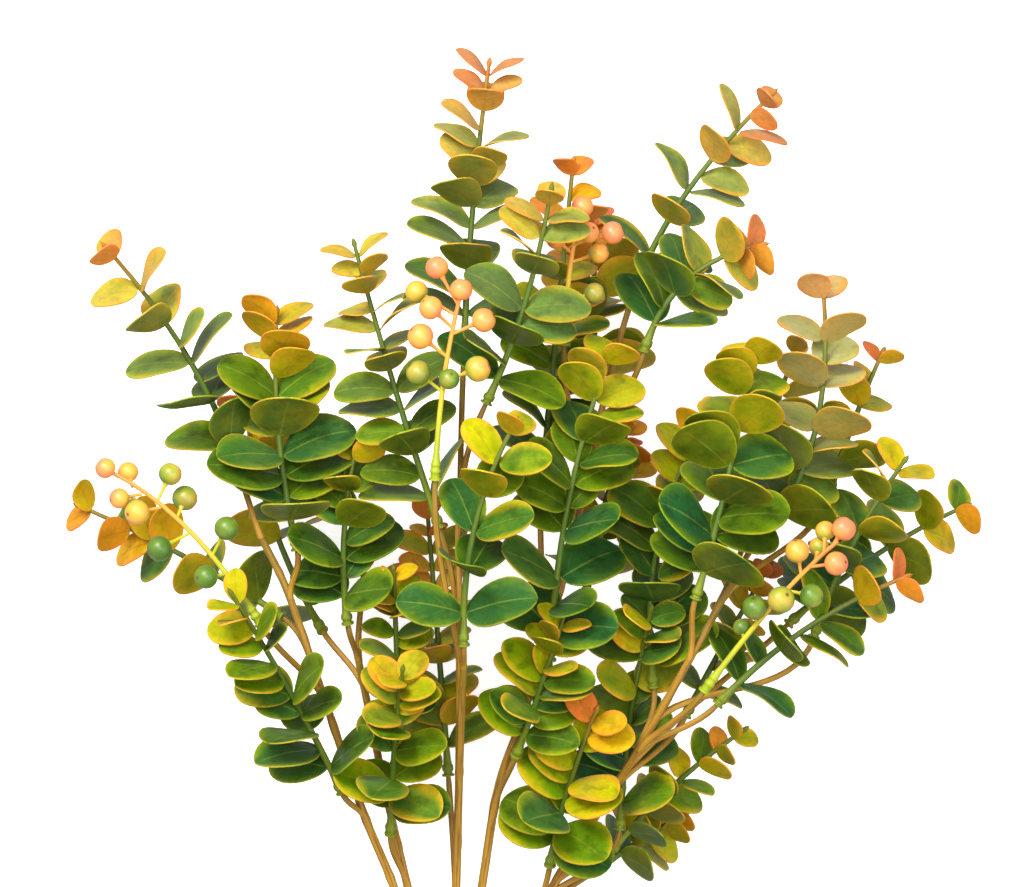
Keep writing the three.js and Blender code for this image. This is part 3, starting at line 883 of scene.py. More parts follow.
    def finish(self, name: str, materials: Sequence[Material], slot: str, node: str) -> bpy.types.Object:
        """Makes the object, in metres and in the frame's place, and puts it for its node.

        Args:
            name: The piece's name.
            materials: Its finishes, by slot.
            slot: The record's material slot; it is not used.
            node: The node that it stands for.

        Returns:
            The finished object.
        """
        bmesh.ops.transform(self.mesh, matrix=PLACE, verts=self.mesh.verts)
        data = bpy.data.meshes.new(name)
        self.mesh.to_mesh(data)
        self.mesh.free()
        data.set_sharp_from_angle(angle=math.radians(self.sharp_edge))
        for material in materials:
            data.materials.append(material)
        piece = bpy.data.objects.new(name, data)
        bpy.context.scene.collection.objects.link(piece)
        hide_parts(node)
        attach(piece, "root")
        LOG.info("%s: %d faces", name, len(data.polygons))
        return piece


# Finishes


def ink(red: int, green: int, blue: int) -> tuple[float, float, float, float]:
    """A colour as a node wants it, from its everyday 0 to 255 values."""
    colour = Color((red / 255, green / 255, blue / 255)).from_srgb_to_scene_linear()
    return (*colour, 1)


@dataclass
class Shader:
    """A short way to lay out a material's nodes."""

    name: str

    def __post_init__(self) -> None:
        """Starts an empty material."""
        self.material = bpy.data.materials.new(self.name)
        self.material.use_nodes = True
        self.tree = self.material.node_tree
        self.tree.nodes.clear()

    def node(self, kind: str, inputs: dict | None = None, **settings: object) -> bpy.types.Node:
        """Adds a node.

        Args:
            kind: Its type.
            inputs: Values or sockets by input name or number.
            settings: Its properties.

        Returns:
            The node.
        """
        node = self.tree.nodes.new(kind)
        for key, value in settings.items():
            setattr(node, key, value)
        for key, value in (inputs or {}).items():
            if isinstance(value, Socket):
                self.tree.links.new(value, node.inputs[key])
            else:
                node.inputs[key].default_value = value
        return node

    def math(self, operation: str, *values: object, clamp: bool = False) -> Socket:
        """The result of a sum on numbers or sockets."""
        inputs = dict(enumerate(values))
        return self.node("ShaderNodeMath", inputs, operation=operation, use_clamp=clamp).outputs[0]

    def product(self, a: object, b: object, clamp: bool = False) -> Socket:
        """One number times another."""
        return self.math("MULTIPLY", a, b, clamp=clamp)

    def scaled(self, value: object, factor: float, offset: float) -> Socket:
        """A number times a factor, plus an offset."""
        return self.math("MULTIPLY_ADD", value, factor, offset)

    def moved(self, value: object, by: object, factor: float, offset: float, clamp: bool = False) -> Socket:
        """A number moved by another one, which is scaled first."""
        return self.math("ADD", value, self.scaled(by, factor, offset), clamp=clamp)

    def inverse(self, value: object) -> Socket:
        """What a number lacks to 1."""
        return self.math("SUBTRACT", 1, value)

    def step(self, value: object, low: float, high: float) -> Socket:
        """A smooth step from 0 at low to 1 at high."""
        inputs = {"Value": value, "From Min": low, "From Max": high}
        return self.node("ShaderNodeMapRange", inputs, interpolation_type="SMOOTHSTEP").outputs[0]

    def blend(self, share: object, a: object, b: object, mode: str = "MIX") -> Socket:
        """A colour between a and b."""
        inputs = {0: share, 6: a, 7: b}
        return self.node("ShaderNodeMix", inputs, data_type="RGBA", blend_type=mode).outputs[2]

    def ramp(self, value: object, stops: Sequence[tuple[float, tuple]]) -> Socket:
        """A colour looked up between stops.

        Args:
            value: Where to look, from 0 to 1.
            stops: Places and colours, from low to high.

        Returns:
            The colour.
        """
        node = self.node("ShaderNodeValToRGB", {0: value})
        ramp = node.color_ramp
        ramp.elements[0].position, ramp.elements[0].color = stops[0]
        ramp.elements[1].position, ramp.elements[1].color = stops[-1]
        for place, colour in stops[1:-1]:
            ramp.elements.new(place).color = colour
        return node.outputs[0]

    def noise(self, scale: float, detail: float = 2, where: object = None, rough: float = 0.5) -> Socket:
        """Noise from 0 to 1.

        Args:
            scale: How fine it is.
            detail: How many finer layers it has.
            where: The vector that it is read at, the object's own coordinates if none is given.
            rough: Weight of the finer layers.

        Returns:
            The noise.
        """
        where = where or self.node("ShaderNodeTexCoord").outputs["Object"]
        inputs = {"Vector": where, "Scale": scale, "Detail": detail, "Roughness": rough}
        return self.node("ShaderNodeTexNoise", inputs).outputs[0]

    def map_uv(self) -> tuple[Socket, Socket, Socket]:
        """Reads the piece's own map.

        Returns:
            The map, and its two numbers.
        """
        where = self.node("ShaderNodeUVMap", uv_map="along").outputs[0]
        parts = self.node("ShaderNodeSeparateXYZ", {0: where})
        return where, parts.outputs[0], parts.outputs[1]

    def tones(self) -> tuple[Socket, ...]:
        """Reads the piece's tone attribute.

        Returns:
            Its four numbers.
        """
        tone = self.node("ShaderNodeAttribute", attribute_name="tone")
        parts = self.node("ShaderNodeSeparateColor", {0: tone.outputs["Color"]})
        return (*parts.outputs[:3], tone.outputs["Alpha"])

    def surface(
        self, colour: object, rough: object, height: object, strength: float, depth: float, **fixed: object
    ) -> Material:
        """Ends the material in one shader.

        Args:
            colour: Base colour.
            rough: Roughness.
            height: Height for the bump.
            strength: Strength of the bump.
            depth: Depth of the bump in metres.
            fixed: Other values, set on the shader itself.

        Returns:
            The material.
        """
        bump = self.node("ShaderNodeBump", {"Strength": strength, "Distance": depth, "Height": height})
        inputs = {"Base Color": colour, "Roughness": rough, "Normal": bump.outputs[0]}
        shader = self.node("ShaderNodeBsdfPrincipled", inputs)
        for key, value in fixed.items():
            shader.inputs[key.replace("_", " ")].default_value = value
        self.node("ShaderNodeOutputMaterial", {0: shader.outputs[0]})
        return self.material


@dataclass
class LeafSpot:
    """What the leaf's nodes know of a spot: its place on the leaf, the leaf's tones, and noise."""

    along: Socket
    across: Socket
    ripe: Socket
    chance: Socket
    under: Socket
    grey: Socket
    blotch: Socket
    fine: Socket


@dataclass(frozen=True)
class LeafFinish:
    """Moulded leaves washed from deep green to orange, with pale veins and a bright rim.

    Colours in a list are looked up by ripeness. A place across a leaf runs from 0 at its midrib to
    1 at its rim, and along it from 0 at its root to 1 at its end. Two numbers are the ends of a
    smooth step for a place, a patch or a choice of leaves, strength and depth in metres for the
    bump, and a factor and an offset otherwise.
    """

    centre: tuple = (
        (0.0, ink(44, 76, 14)), (0.18, ink(76, 100, 10)), (0.36, ink(90, 124, 4)),
        (0.55, ink(172, 166, 8)), (0.75, ink(206, 156, 16)), (1.0, ink(208, 108, 44)))
    margin: tuple = (
        (0.0, ink(84, 118, 18)), (0.18, ink(128, 148, 12)), (0.36, ink(192, 166, 20)),
        (0.55, ink(224, 160, 40)), (0.75, ink(224, 136, 34)), (1.0, ink(220, 98, 54)))
    rim: tuple = (
        (0.0, ink(150, 164, 44)), (0.25, ink(200, 164, 54)), (0.5, ink(222, 136, 56)),
        (1.0, ink(228, 104, 56)))
    vein: tuple = (
        (0.0, ink(164, 180, 78)), (0.3, ink(150, 160, 50)), (0.5, ink(104, 96, 18)),
        (1.0, ink(126, 66, 22)))
    grain: tuple = ((0.25, ink(226, 226, 226)), (0.75, ink(255, 255, 255)))
    blue: tuple = ink(30, 84, 42)
    shade: tuple = ink(14, 44, 10)
    dull: tuple = ink(160, 158, 112)
    green_underside: tuple = ink(86, 108, 18)
    ripe_underside: tuple = ink(224, 136, 34)
    sheen: tuple = (1.0, 0.95, 0.5, 1.0)

    detail: float = 3
    blotch_scale: float = 70
    fine_scale: float = 420
    blotching: tuple[float, float] = (0.3, -0.15)

    wash_scale: float = 48
    wash_play: tuple[float, float] = (0.9, -0.45)
    wash_lean: tuple[float, float] = (0.35, -0.15)
    wash_place: tuple[float, float] = (0.52, 1.28)
    wash_shuffle: float = 7.3
    washed_leaves: tuple[float, float] = (-0.7, 0.8)

    side_vein_slant: float = -0.42
    side_vein_count: float = 46
    side_vein_place: tuple[float, float] = (0.82, 1)
    side_vein_patch: tuple[float, float] = (0.35, 0.75)
    side_vein_height: float = 0.3
    midrib_place: tuple[float, float] = (0.015, 0.06)
    midrib_fade: tuple[float, float] = (-0.7, 1)
    midrib_height: float = 0.7
    vein_paint: float = 0.55

    blue_leaves: tuple[float, float] = (0.35, 0.8)
    blue_below: float = 0.85
    shade_scale: float = 110
    shade_patch: tuple[float, float] = (0.5, 0.68)
    shade_by_ripeness: tuple[float, float] = (-0.3, 0.5)
    root_place: tuple[float, float] = (0, 0.14)
    root_paint: float = 0.5
    rim_place: tuple[float, float] = (0.92, 0.99)
    rim_paint: float = 0.45
    dull_by_blotch: tuple[float, float] = (0.7, 0.3)
    dull_by_wash: tuple[float, float] = (-0.8, 1)
    underside_by_blotch: tuple[float, float] = (0.7, -0.05)

    rough: tuple[float, float] = (0.16, 0.36)
    grain_height: float = 0.3
    bump: tuple[float, float] = (0.35, 0.0004)
    gloss: float = 0.15

    def read(self, paint: Shader) -> LeafSpot:
        """Reads the map and the tones, and lets blotches change the ripeness.

        Args:
            paint: The material that is laid out.

        Returns:
            What is known of a spot.
        """
        _, along, side = paint.map_uv()
        ripe, chance, under, grey = paint.tones()
        across = paint.math("ABSOLUTE", paint.scaled(side, 2, -1))
        blotch = paint.noise(self.blotch_scale, self.detail)
        fine = paint.noise(self.fine_scale, self.detail)
        ripe = paint.moved(ripe, blotch, *self.blotching, clamp=True)
        return LeafSpot(along, across, ripe, chance, under, grey, blotch, fine)

    def washed(self, paint: Shader, spot: LeafSpot) -> Socket:
        """How much of the margin's colour is sprayed on.

        Args:
            paint: The material that is laid out.
            spot: The spot.

        Returns:
            A share from 0 to 1.
        """
        spread = paint.moved(spot.across, paint.noise(self.wash_scale), *self.wash_play)
        spread = paint.moved(spread, spot.along, *self.wash_lean)
        shuffled = paint.math("FRACT", paint.product(spot.chance, self.wash_shuffle))
        of_leaf = paint.step(shuffled, *self.washed_leaves)
        return paint.product(paint.step(spread, *self.wash_place), of_leaf)

    def veined(self, paint: Shader, spot: LeafSpot) -> Socket:
        """How strongly the midrib and the side veins show.

        Args:
            paint: The material that is laid out.
            spot: The spot.

        Returns:
            A share from 0 to 1.
        """
        slanted = paint.math("MULTIPLY_ADD", spot.across, self.side_vein_slant, spot.along)
        lines = paint.math("SINE", paint.product(slanted, self.side_vein_count))
        lines = paint.product(paint.step(lines, *self.side_vein_place), paint.inverse(spot.across))
        lines = paint.product(lines, paint.step(spot.blotch, *self.side_vein_patch))
        midrib = paint.inverse(paint.step(spot.across, *self.midrib_place))
        midrib = paint.product(midrib, paint.scaled(spot.along, *self.midrib_fade))
        lines = paint.product(lines, self.side_vein_height)
        midrib = paint.product(midrib, self.midrib_height)
        return paint.math("MAXIMUM", lines, midrib, clamp=True)

    def painted(self, paint: Shader, spot: LeafSpot, wash: Socket, veins: Socket) -> Socket:
        """The colour, laid on coat by coat.

        Args:
            paint: The material that is laid out.
            spot: The spot.
            wash: How much of the margin's colour is on it.
            veins: How strongly a vein shows on it.

        Returns:
            The colour.
        """
        ripe = spot.ripe
        vein = paint.ramp(ripe, self.vein)
        green = paint.math("SUBTRACT", self.blue_below, ripe)
        cool = paint.product(paint.step(spot.chance, *self.blue_leaves), green, clamp=True)
        colour = paint.blend(cool, paint.ramp(ripe, self.centre), self.blue)
        colour = paint.blend(wash, colour, paint.ramp(ripe, self.margin))
        colour = paint.blend(paint.product(veins, self.vein_paint), colour, vein)

        patch = paint.step(paint.noise(self.shade_scale, self.detail), *self.shade_patch)
        deep = paint.product(patch, paint.scaled(ripe, *self.shade_by_ripeness))
        colour = paint.blend(paint.product(deep, paint.inverse(wash)), colour, self.shade)
        root = paint.inverse(paint.step(spot.along, *self.root_place))
        colour = paint.blend(paint.product(root, self.root_paint), colour, vein)
        rim = paint.product(paint.step(spot.across, *self.rim_place), self.rim_paint)
        colour = paint.blend(rim, colour, paint.ramp(ripe, self.rim))

        patch = paint.scaled(spot.blotch, *self.dull_by_blotch)
        faded = paint.product(patch, paint.scaled(wash, *self.dull_by_wash))
        colour = paint.blend(paint.product(spot.grey, faded), colour, self.dull)
        below = paint.product(spot.under, paint.scaled(spot.blotch, *self.underside_by_blotch), clamp=True)
        colour = paint.blend(below, colour, paint.blend(ripe, self.green_underside, self.ripe_underside))
        return paint.blend(1.0, colour, paint.ramp(spot.fine, self.grain), "MULTIPLY")

    def build(self) -> Material:
        """Lays the material out.

        Returns:
            The material.
        """
        paint = Shader("moulded_leaf")
        spot = self.read(paint)
        wash = self.washed(paint, spot)
        veins = self.veined(paint, spot)
        colour = self.painted(paint, spot, wash, veins)
        rough = paint.scaled(spot.fine, *self.rough)
        height = paint.math("SUBTRACT", paint.product(spot.fine, self.grain_height), veins)
        return paint.surface(
            colour, rough, height, *self.bump, Specular_IOR_Level=self.gloss, Specular_Tint=self.sheen)


@dataclass(frozen=True)
class RodFinish:
    """A moulded stem with streaks along it, whose colour changes from foot to tip.

    The grain is given by its scale and its detail. Two numbers are the ends of a smooth step for
    the streaks, strength and depth in metres for the bump, and a factor and an offset otherwise.
    """

    name: str
    stops: tuple
    streak: tuple
    streaks: float
    grain_stretch: tuple[float, float, float] = (9, 2.2, 1)
    grain: tuple[float, float] = (1.6, 4)
    grain_rough: float = 0.6
    streak_patch: tuple[float, float] = (0.46, 0.66)
    patch_scale: float = 26
    patches: tuple[float, float] = (0.24, -0.12)
    rough: tuple[float, float] = (0.2, 0.42)
    bump: tuple[float, float] = (0.3, 0.0004)
    gloss: float = 0.3

    def build(self) -> Material:
        """Lays the material out.

        Returns:
            The material.
        """
        paint = Shader(self.name)
        where, _, _ = paint.map_uv()
        share, _, _, _ = paint.tones()
        inputs = {"Vector": where, "Scale": self.grain_stretch}
        stretched = paint.node("ShaderNodeMapping", inputs).outputs[0]
        grain = paint.noise(*self.grain, stretched, self.grain_rough)
        share = paint.moved(share, paint.noise(self.patch_scale), *self.patches, clamp=True)
        mask = paint.product(paint.step(grain, *self.streak_patch), self.streaks)
        colour = paint.blend(mask, paint.ramp(share, self.stops), self.streak)
        rough = paint.scaled(grain, *self.rough)
        return paint.surface(colour, rough, grain, *self.bump, Specular_IOR_Level=self.gloss)


@dataclass(frozen=True)
class NutFinish:
    """Smooth gum nuts, green to yellow to orange, blushed in patches, with a dark dimple.

    Two numbers are the ends of a smooth step for the blush and the dimple, strength and depth in
    metres for the bump, and a factor and an offset otherwise.
    """

    skin: tuple = (
        (0.0, ink(64, 96, 26)), (0.2, ink(98, 124, 34)), (0.4, ink(154, 150, 46)),
        (0.62, ink(214, 152, 56)), (0.8, ink(222, 138, 68)), (1.0, ink(222, 116, 72)))
    blush: tuple = ink(226, 118, 82)
    dark: tuple = ink(92, 62, 28)
    cloud_scale: float = 55
    fine_scale: float = 600
    clouds: tuple[float, float] = (0.9, -0.47)
    by_height: tuple[float, float] = (0.24, -0.14)
    blush_patch: tuple[float, float] = (0.45, 0.7)
    blush_paint: float = 0.8
    dimple_place: tuple[float, float] = (0.985, 0.998)
    rough: tuple[float, float] = (0.12, 0.3)
    bump: tuple[float, float] = (0.12, 0.0002)
    gloss: float = 0.4

    def build(self) -> Material:
        """Lays the material out.

        Returns:
            The material.
        """
        paint = Shader("gum_nut_skin")
        ripe, _, height, _ = paint.tones()
        cloud = paint.noise(self.cloud_scale)
        fine = paint.noise(self.fine_scale)
        varied = paint.moved(ripe, cloud, *self.clouds)
        varied = paint.moved(varied, height, *self.by_height, clamp=True)
        blushed = paint.product(paint.step(cloud, *self.blush_patch), paint.product(ripe, self.blush_paint))
        colour = paint.blend(blushed, paint.ramp(varied, self.skin), self.blush)
        colour = paint.blend(paint.step(height, *self.dimple_place), colour, self.dark)
        rough = paint.scaled(fine, *self.rough)
        return paint.surface(colour, rough, fine, *self.bump, Specular_IOR_Level=self.gloss)


MAIN_STEM = RodFinish(
    "tan_stem",
    ((0.0, ink(150, 104, 22)), (0.3, ink(170, 126, 38)), (0.7, ink(150, 110, 30)), (1.0, ink(112, 96, 22))),
    ink(84, 52, 8), 0.75)
SPRIG_STEM = RodFinish(
    "sprig_stem",
    ((0.0, ink(112, 124, 16)), (0.25, ink(66, 92, 18)), (0.7, ink(92, 100, 18)), (1.0, ink(184, 104, 34))),
    ink(44, 58, 10), 0.5)
NUT_STALK = RodFinish(
    "nut_stalk",
    ((0.0, ink(136, 154, 20)), (0.35, ink(170, 168, 34)), (0.65, ink(214, 150, 56)),
     (1.0, ink(218, 122, 62))),
    ink(130, 96, 24), 0.35)


# Sub-assemblies


def place_from_frame() -> Matrix:
    """Turns millimetres round the stalk into metres in the frame, from the stalk's own box.

    Returns:
        The matrix.
    """
    low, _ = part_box("stalk")
    corner = Vector((-STALK.axis_height, STALK.foot, 0)) * MM
    return Matrix.Translation(low - corner) @ Matrix.Scale(MM, 4)


PLACE = place_from_frame()
BACK = PLACE.inverted()
STALK_LIFT = PLACE.translation.z / MM
LEAF_CLEARANCE = 0.05
SURFACE = LEAF_CLEARANCE - STALK_LIFT


@dataclass
class Crowd:
    """All that a further leaf must stay clear of: the solids, and the leaves already placed."""

    gap: float = 1.6
    placed_gap: float = 0.3
    floor: float = 1.2
    solids: dict[str, BVHTree] = field(default_factory=dict)
    leaves: list[BVHTree] = field(default_factory=list)

    def __post_init__(self) -> None:
        """Reads every solid of the frame."""
        for name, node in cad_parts.items():
            corners = [BACK @ vert.co for vert in node.data.vertices]
            faces = [tuple(face.vertices) for face in node.data.polygons]
            self.solids[name] = BVHTree.FromPolygons(corners, faces)

    def add(self, leaf: Leaf) -> None:
        """Counts a leaf as placed."""
        self.leaves.append(leaf.sheets(self.placed_gap))

    def has_room(self, leaf: Leaf, owner: str) -> bool:
        """Whether a leaf crosses no other piece, no placed leaf and not the surface.

        Args:
            leaf: The leaf.
            owner: The node whose stem it grows from.

        Returns:
            True where it is clear.
        """
        if leaf.lowest() + STALK_LIFT < self.floor:
            return False
        sheets = leaf.sheets(self.gap)
        if any(sheets.overlap(solid) for name, solid in self.solids.items() if name != owner):
            return False
        return not any(sheets.overlap(other) for other in self.leaves)


@dataclass(frozen=True)
class FurtherHabit:
    """Where leaves between two pairs are tried, and how far each one may stray."""

    places: tuple[float, ...] = (0.5, 0.25, 0.75)
    shrink: float = 0.86
    size: float = 0.78
    size_play: float = 0.28
    turn_play: float = 110
    pitch_play: float = 24
    facing: float = 0.1
    facing_play: float = 0.95


@dataclass
class LeafySprig:
    """A sprig: a ringed socket, a stem that narrows to a bud, and its pairs of leaves.

    The socket's rings are given by their distance from the foot and their radius, and the bud's
    by their distance past the tip and their radius.
    """

    sprig: Sprig
    index: int
    socket: tuple[tuple[float, float], ...] = (
        (0, 2.2), (0.05, 3.15), (1.1, 3.15), (1.3, 2.3), (2.4, 2.185), (2.8, 2.75), (4.2, 2.915),
        (5.6, 2.75), (6.2, 2.2), (9, 1.95), (13, 1.7))
    bud: tuple[tuple[float, float], ...] = ((-4.5, 0.935), (-2.8, 1.43), (-1, 1.1), (0.8, 0.25))
    neck: float = 1.7
    head: float = 1.1
    bands: int = 9
    further: FurtherHabit = FurtherHabit()
    behind_below: float = 75
    same_corner: float = 0.05
    ripening: float = 1.6
    greying: float = 1.8
    play_in_front: tuple[float, float] = (0.3, 0.46)
    play_behind: tuple[float, float] = (0.6, 0.4)
    green_tip: float = 0.3

    @property
    def node(self) -> str:
        """The node that it stands for."""
        return f"leafy_sprig_{self.index + 1:02d}"

    def solid_corners(self) -> kdtree.KDTree:
        """The corners of its solid, in millimetres round the stalk.

        Returns:
            The corners in a search tree.
        """
        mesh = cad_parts[self.node].data
        tree = kdtree.KDTree(len(mesh.vertices))
        for i, vert in enumerate(mesh.vertices):
            tree.insert(BACK @ vert.co, i)
        tree.balance()
        return tree

    def grown_leaves(self) -> list[Leaf]:
        """The leaves that the solid has, each bent as the solid's is.

        Returns:
            The leaves whose end is a corner of the solid.
        """
        corners = self.solid_corners()
        leaves = []
        for pair in leaf_pairs(self.sprig, self.index):
            station = shoot_station(self.sprig, pair.t)
            end = BLADE.large_end if pair.size > BLADE.large else BLADE.small_end
            for side in (0, 1):
                for leaf in (set_leaf(station, pair, side, bend) for bend in BENDS):
                    spot = leaf.spot(*end, BLADE.thickness / 2)
                    if corners.find(spot)[2] < self.same_corner:
                        leaves.append(leaf)
                        break
        return leaves

    def fitted(self, pair: LeafPair, sides: Sequence[int], crowd: Crowd) -> list[Leaf]:
        """The leaves of a pair, each in the first bend that has room.

        Args:
            pair: The pair.
            sides: Which of its two leaves are wanted.
            crowd: What the leaves must stay clear of.

        Returns:
            The leaves that found room.
        """
        station = shoot_station(self.sprig, pair.t)
        leaves = []
        for side in sides:
            tries = (set_leaf(station, pair, side, bend) for bend in BENDS)
            leaf = next((one for one in tries if crowd.has_room(one, self.node)), None)
            if leaf:
                crowd.add(leaf)
                leaves.append(leaf)
        return leaves

    def between_leaves(self, crowd: Crowd) -> list[Leaf]:
        """The leaves between the solid's pairs, each bent clear or left out.

        Args:
            crowd: What the leaves must stay clear of.

        Returns:
            The leaves.
        """
        habit = self.further
        draw = seeded_draws(Stream.FURTHER, self.index)
        pairs = leaf_pairs(self.sprig, self.index)
        leaves = []
        for turn, place in enumerate(habit.places):
            for low, high in zip(pairs, pairs[1:]):
                size = mix(low.size, high.size, place) * habit.shrink**turn
                pair = LeafPair(
                    t=mix(low.t, high.t, place),
                    size=size * (habit.size + habit.size_play * next(draw)),
                    turn=habit.turn_play * (next(draw) - 0.5),
                    pitch=mix(low.pitch, high.pitch, place) + habit.pitch_play * (next(draw) - 0.5),
                    facing=habit.facing + habit.facing_play * next(draw),
                    stretch=mix(low.stretch, high.stretch, place),
                    share=mix(low.share, high.share, place),
                )
                sides = [side for side in (0, 1) if next(draw) < self.sprig.fill - turn]
                leaves += self.fitted(pair, sides, crowd)
        return leaves

    def tone(self, leaf: Leaf, draw: Iterator[float]) -> LeafTone:
        """Draws the colour numbers of a leaf.

        Args:
            leaf: The leaf.
            draw: Stream of numbers.

        Returns:
            Its ripeness, which grows towards the tip, its random number and its greyness.
        """
        is_behind = self.sprig.via[2] < self.behind_below
        play, green_share = self.play_behind if is_behind else self.play_in_front
        ripeness = mix(self.sprig.low, self.sprig.high, leaf.share**self.ripening)
        ripeness += play * (next(draw) - green_share)
        grey = self.sprig.grey * min(self.greying * leaf.share, 1)
        return LeafTone(max(min(ripeness, 1), 0), next(draw), grey)

    def build_stem(self, piece: PieceMesh) -> None:
        """Adds the socket, the stem and the bud.

        Args:
            piece: The mesh that they go in.
        """
        curve = shoot_curve(self.sprig)
        length = curve.length()
        profile = list(self.socket)
        for share in (i / self.bands for i in range(1, self.bands + 1)):
            at = mix(SHOOT.neck_at, length - SHOOT.bud, share)
            profile.append((at, mix(self.neck, self.head, share)))
        profile += [(length + past, radius) for past, radius in self.bud]
        stations = [curve.station(at / length) for at, _ in profile]
        tone = (0, mix(self.green_tip, 1, self.sprig.high))
        piece.tube(stations, [radius for _, radius in profile], slot=1, tone=tone)

    def build(self, crowd: Crowd, grown: list[Leaf], leaf: Material, stem: Material) -> bpy.types.Object:
        """Builds the sprig.

        Args:
            crowd: What its further leaves must stay clear of.
            grown: The leaves that its solid has.
            leaf: Finish of its leaves.
            stem: Finish of its stem.

        Returns:
            The finished piece.
        """
        piece = PieceMesh()
        draw = seeded_draws(Stream.TONES, self.index)
        shape = LeafShape()
        further = self.between_leaves(crowd)
        for one in grown + further:
            tone = self.tone(one, draw)
            piece.leaf(one, shape, tone, shape.ripple(draw))
        self.build_stem(piece)
        LOG.info("%s: %d leaves of its solid, %d more", self.node, len(grown), len(further))
        return piece.finish(f"sprig_{self.index + 1:02d}", (leaf, stem), "leaf", self.node)


@dataclass
class GumNutSpray:
    """A spray of gum nuts on a forked stalk with a ringed foot.

    The sleeve's rings are given by their distance from the foot and their radius. A nut's own
    stalk leaves the spray's stalk some way below the nut, as a share of the nut's diameter, and
    between the lowest and the highest place along it.
    """

    spray: NutSpray
    index: int
    sleeve: tuple[tuple[float, float], ...] = (
        (0, 2.2), (0.05, 3.1), (1.1, 3.1), (1.3, 2.4), (3.4, 2.3), (3.7, 2.7), (4.8, 2.7),
        (5.1, 2.3), (6.6, 2.2), (6.9, 2.5), (7.8, 2.5), (8.1, 2.1), (11, 1.7), (13, 1.45))
    neck: float = 1.45
    head: float = 1.0
    bands: int = 8
    below_nut: float = 0.7
    lowest: float = 0.16
    highest: float = 0.97
    own_stalk: float = 0.8
    own_stalk_growth: float = 1.15
    own_stalk_bands: int = 6
    own_stalk_sides: int = 8
    green_nut_tone: float = 0.15
    cup: float = 1.6
    sunk: float = 0.8
    sag: float = 0.08

    @property
    def node(self) -> str:
        """The node that it stands for."""
        return f"gum_nut_spray_{self.index + 1:02d}"

    def build_stalk(self, piece: PieceMesh) -> None:
        """Adds the ringed foot and the stalk.

        Args:
            piece: The mesh that they go in.
        """
        curve = shoot_curve(self.spray)
        length = curve.length()
        profile = list(self.sleeve)
        for share in (i / self.bands for i in range(1, self.bands + 1)):
            profile.append((mix(SHOOT.neck_at, length, share), mix(self.neck, self.head, share)))
        stations = [curve.station(at / length) for at, _ in profile]
        piece.tube(stations, [radius for _, radius in profile])

    def build_nut(self, piece: PieceMesh, nut: Sequence[float], chance: float) -> None:
        """Adds a nut and its own short stalk.

        Args:
            piece: The mesh that they go in.
            nut: Its x, y, height over the spray's stalk, diameter and ripeness.
            chance: Its random number.
        """
        x, y, lift, diameter, ripeness = nut
        foot, _, tip = shoot_curve(self.spray).controls
        chord = tip - foot
        level = (Vector((x, y, foot.z)) - foot).dot(chord) / chord.length_squared
        level -= diameter / chord.length * self.below_nut
        level = min(max(level, self.lowest), self.highest)
        start = shoot_station(self.spray, level).origin
        centre = Vector((x, y, start.z + lift))
        forward = (centre - start).normalized()
        base = centre - forward * diameter / 2
        middle = start.lerp(base, 0.5) - UP * self.sag * (base - start).length
        line = Bezier((start, middle, base + forward * self.sunk))
        shares = [i / self.own_stalk_bands for i in range(self.own_stalk_bands + 1)]
        radii = [self.own_stalk * mix(1, self.own_stalk_growth, share) for share in shares[:-1]]
        tone = (mix(level, ripeness, 0.5), mix(self.green_nut_tone, 1, ripeness))
        stations = [line.station(share) for share in shares]
        piece.tube(stations, [*radii, self.cup], sides=self.own_stalk_sides, tone=tone)
        piece.nut(centre, forward, diameter / 2, ripeness, chance)

    def build(self, stalk: Material, skin: Material) -> bpy.types.Object:
        """Builds the spray.

        Args:
            stalk: Finish of its stalks.
            skin: Finish of its nuts.

        Returns:
            The finished piece.
        """
        piece = PieceMesh()
        draw = seeded_draws(Stream.NUTS, self.index)
        self.build_stalk(piece)
        for nut in self.spray.nuts:
            self.build_nut(piece, nut, next(draw))
        return piece.finish(f"nut_spray_{self.index + 1:02d}", (stalk, skin), "nut", self.node)


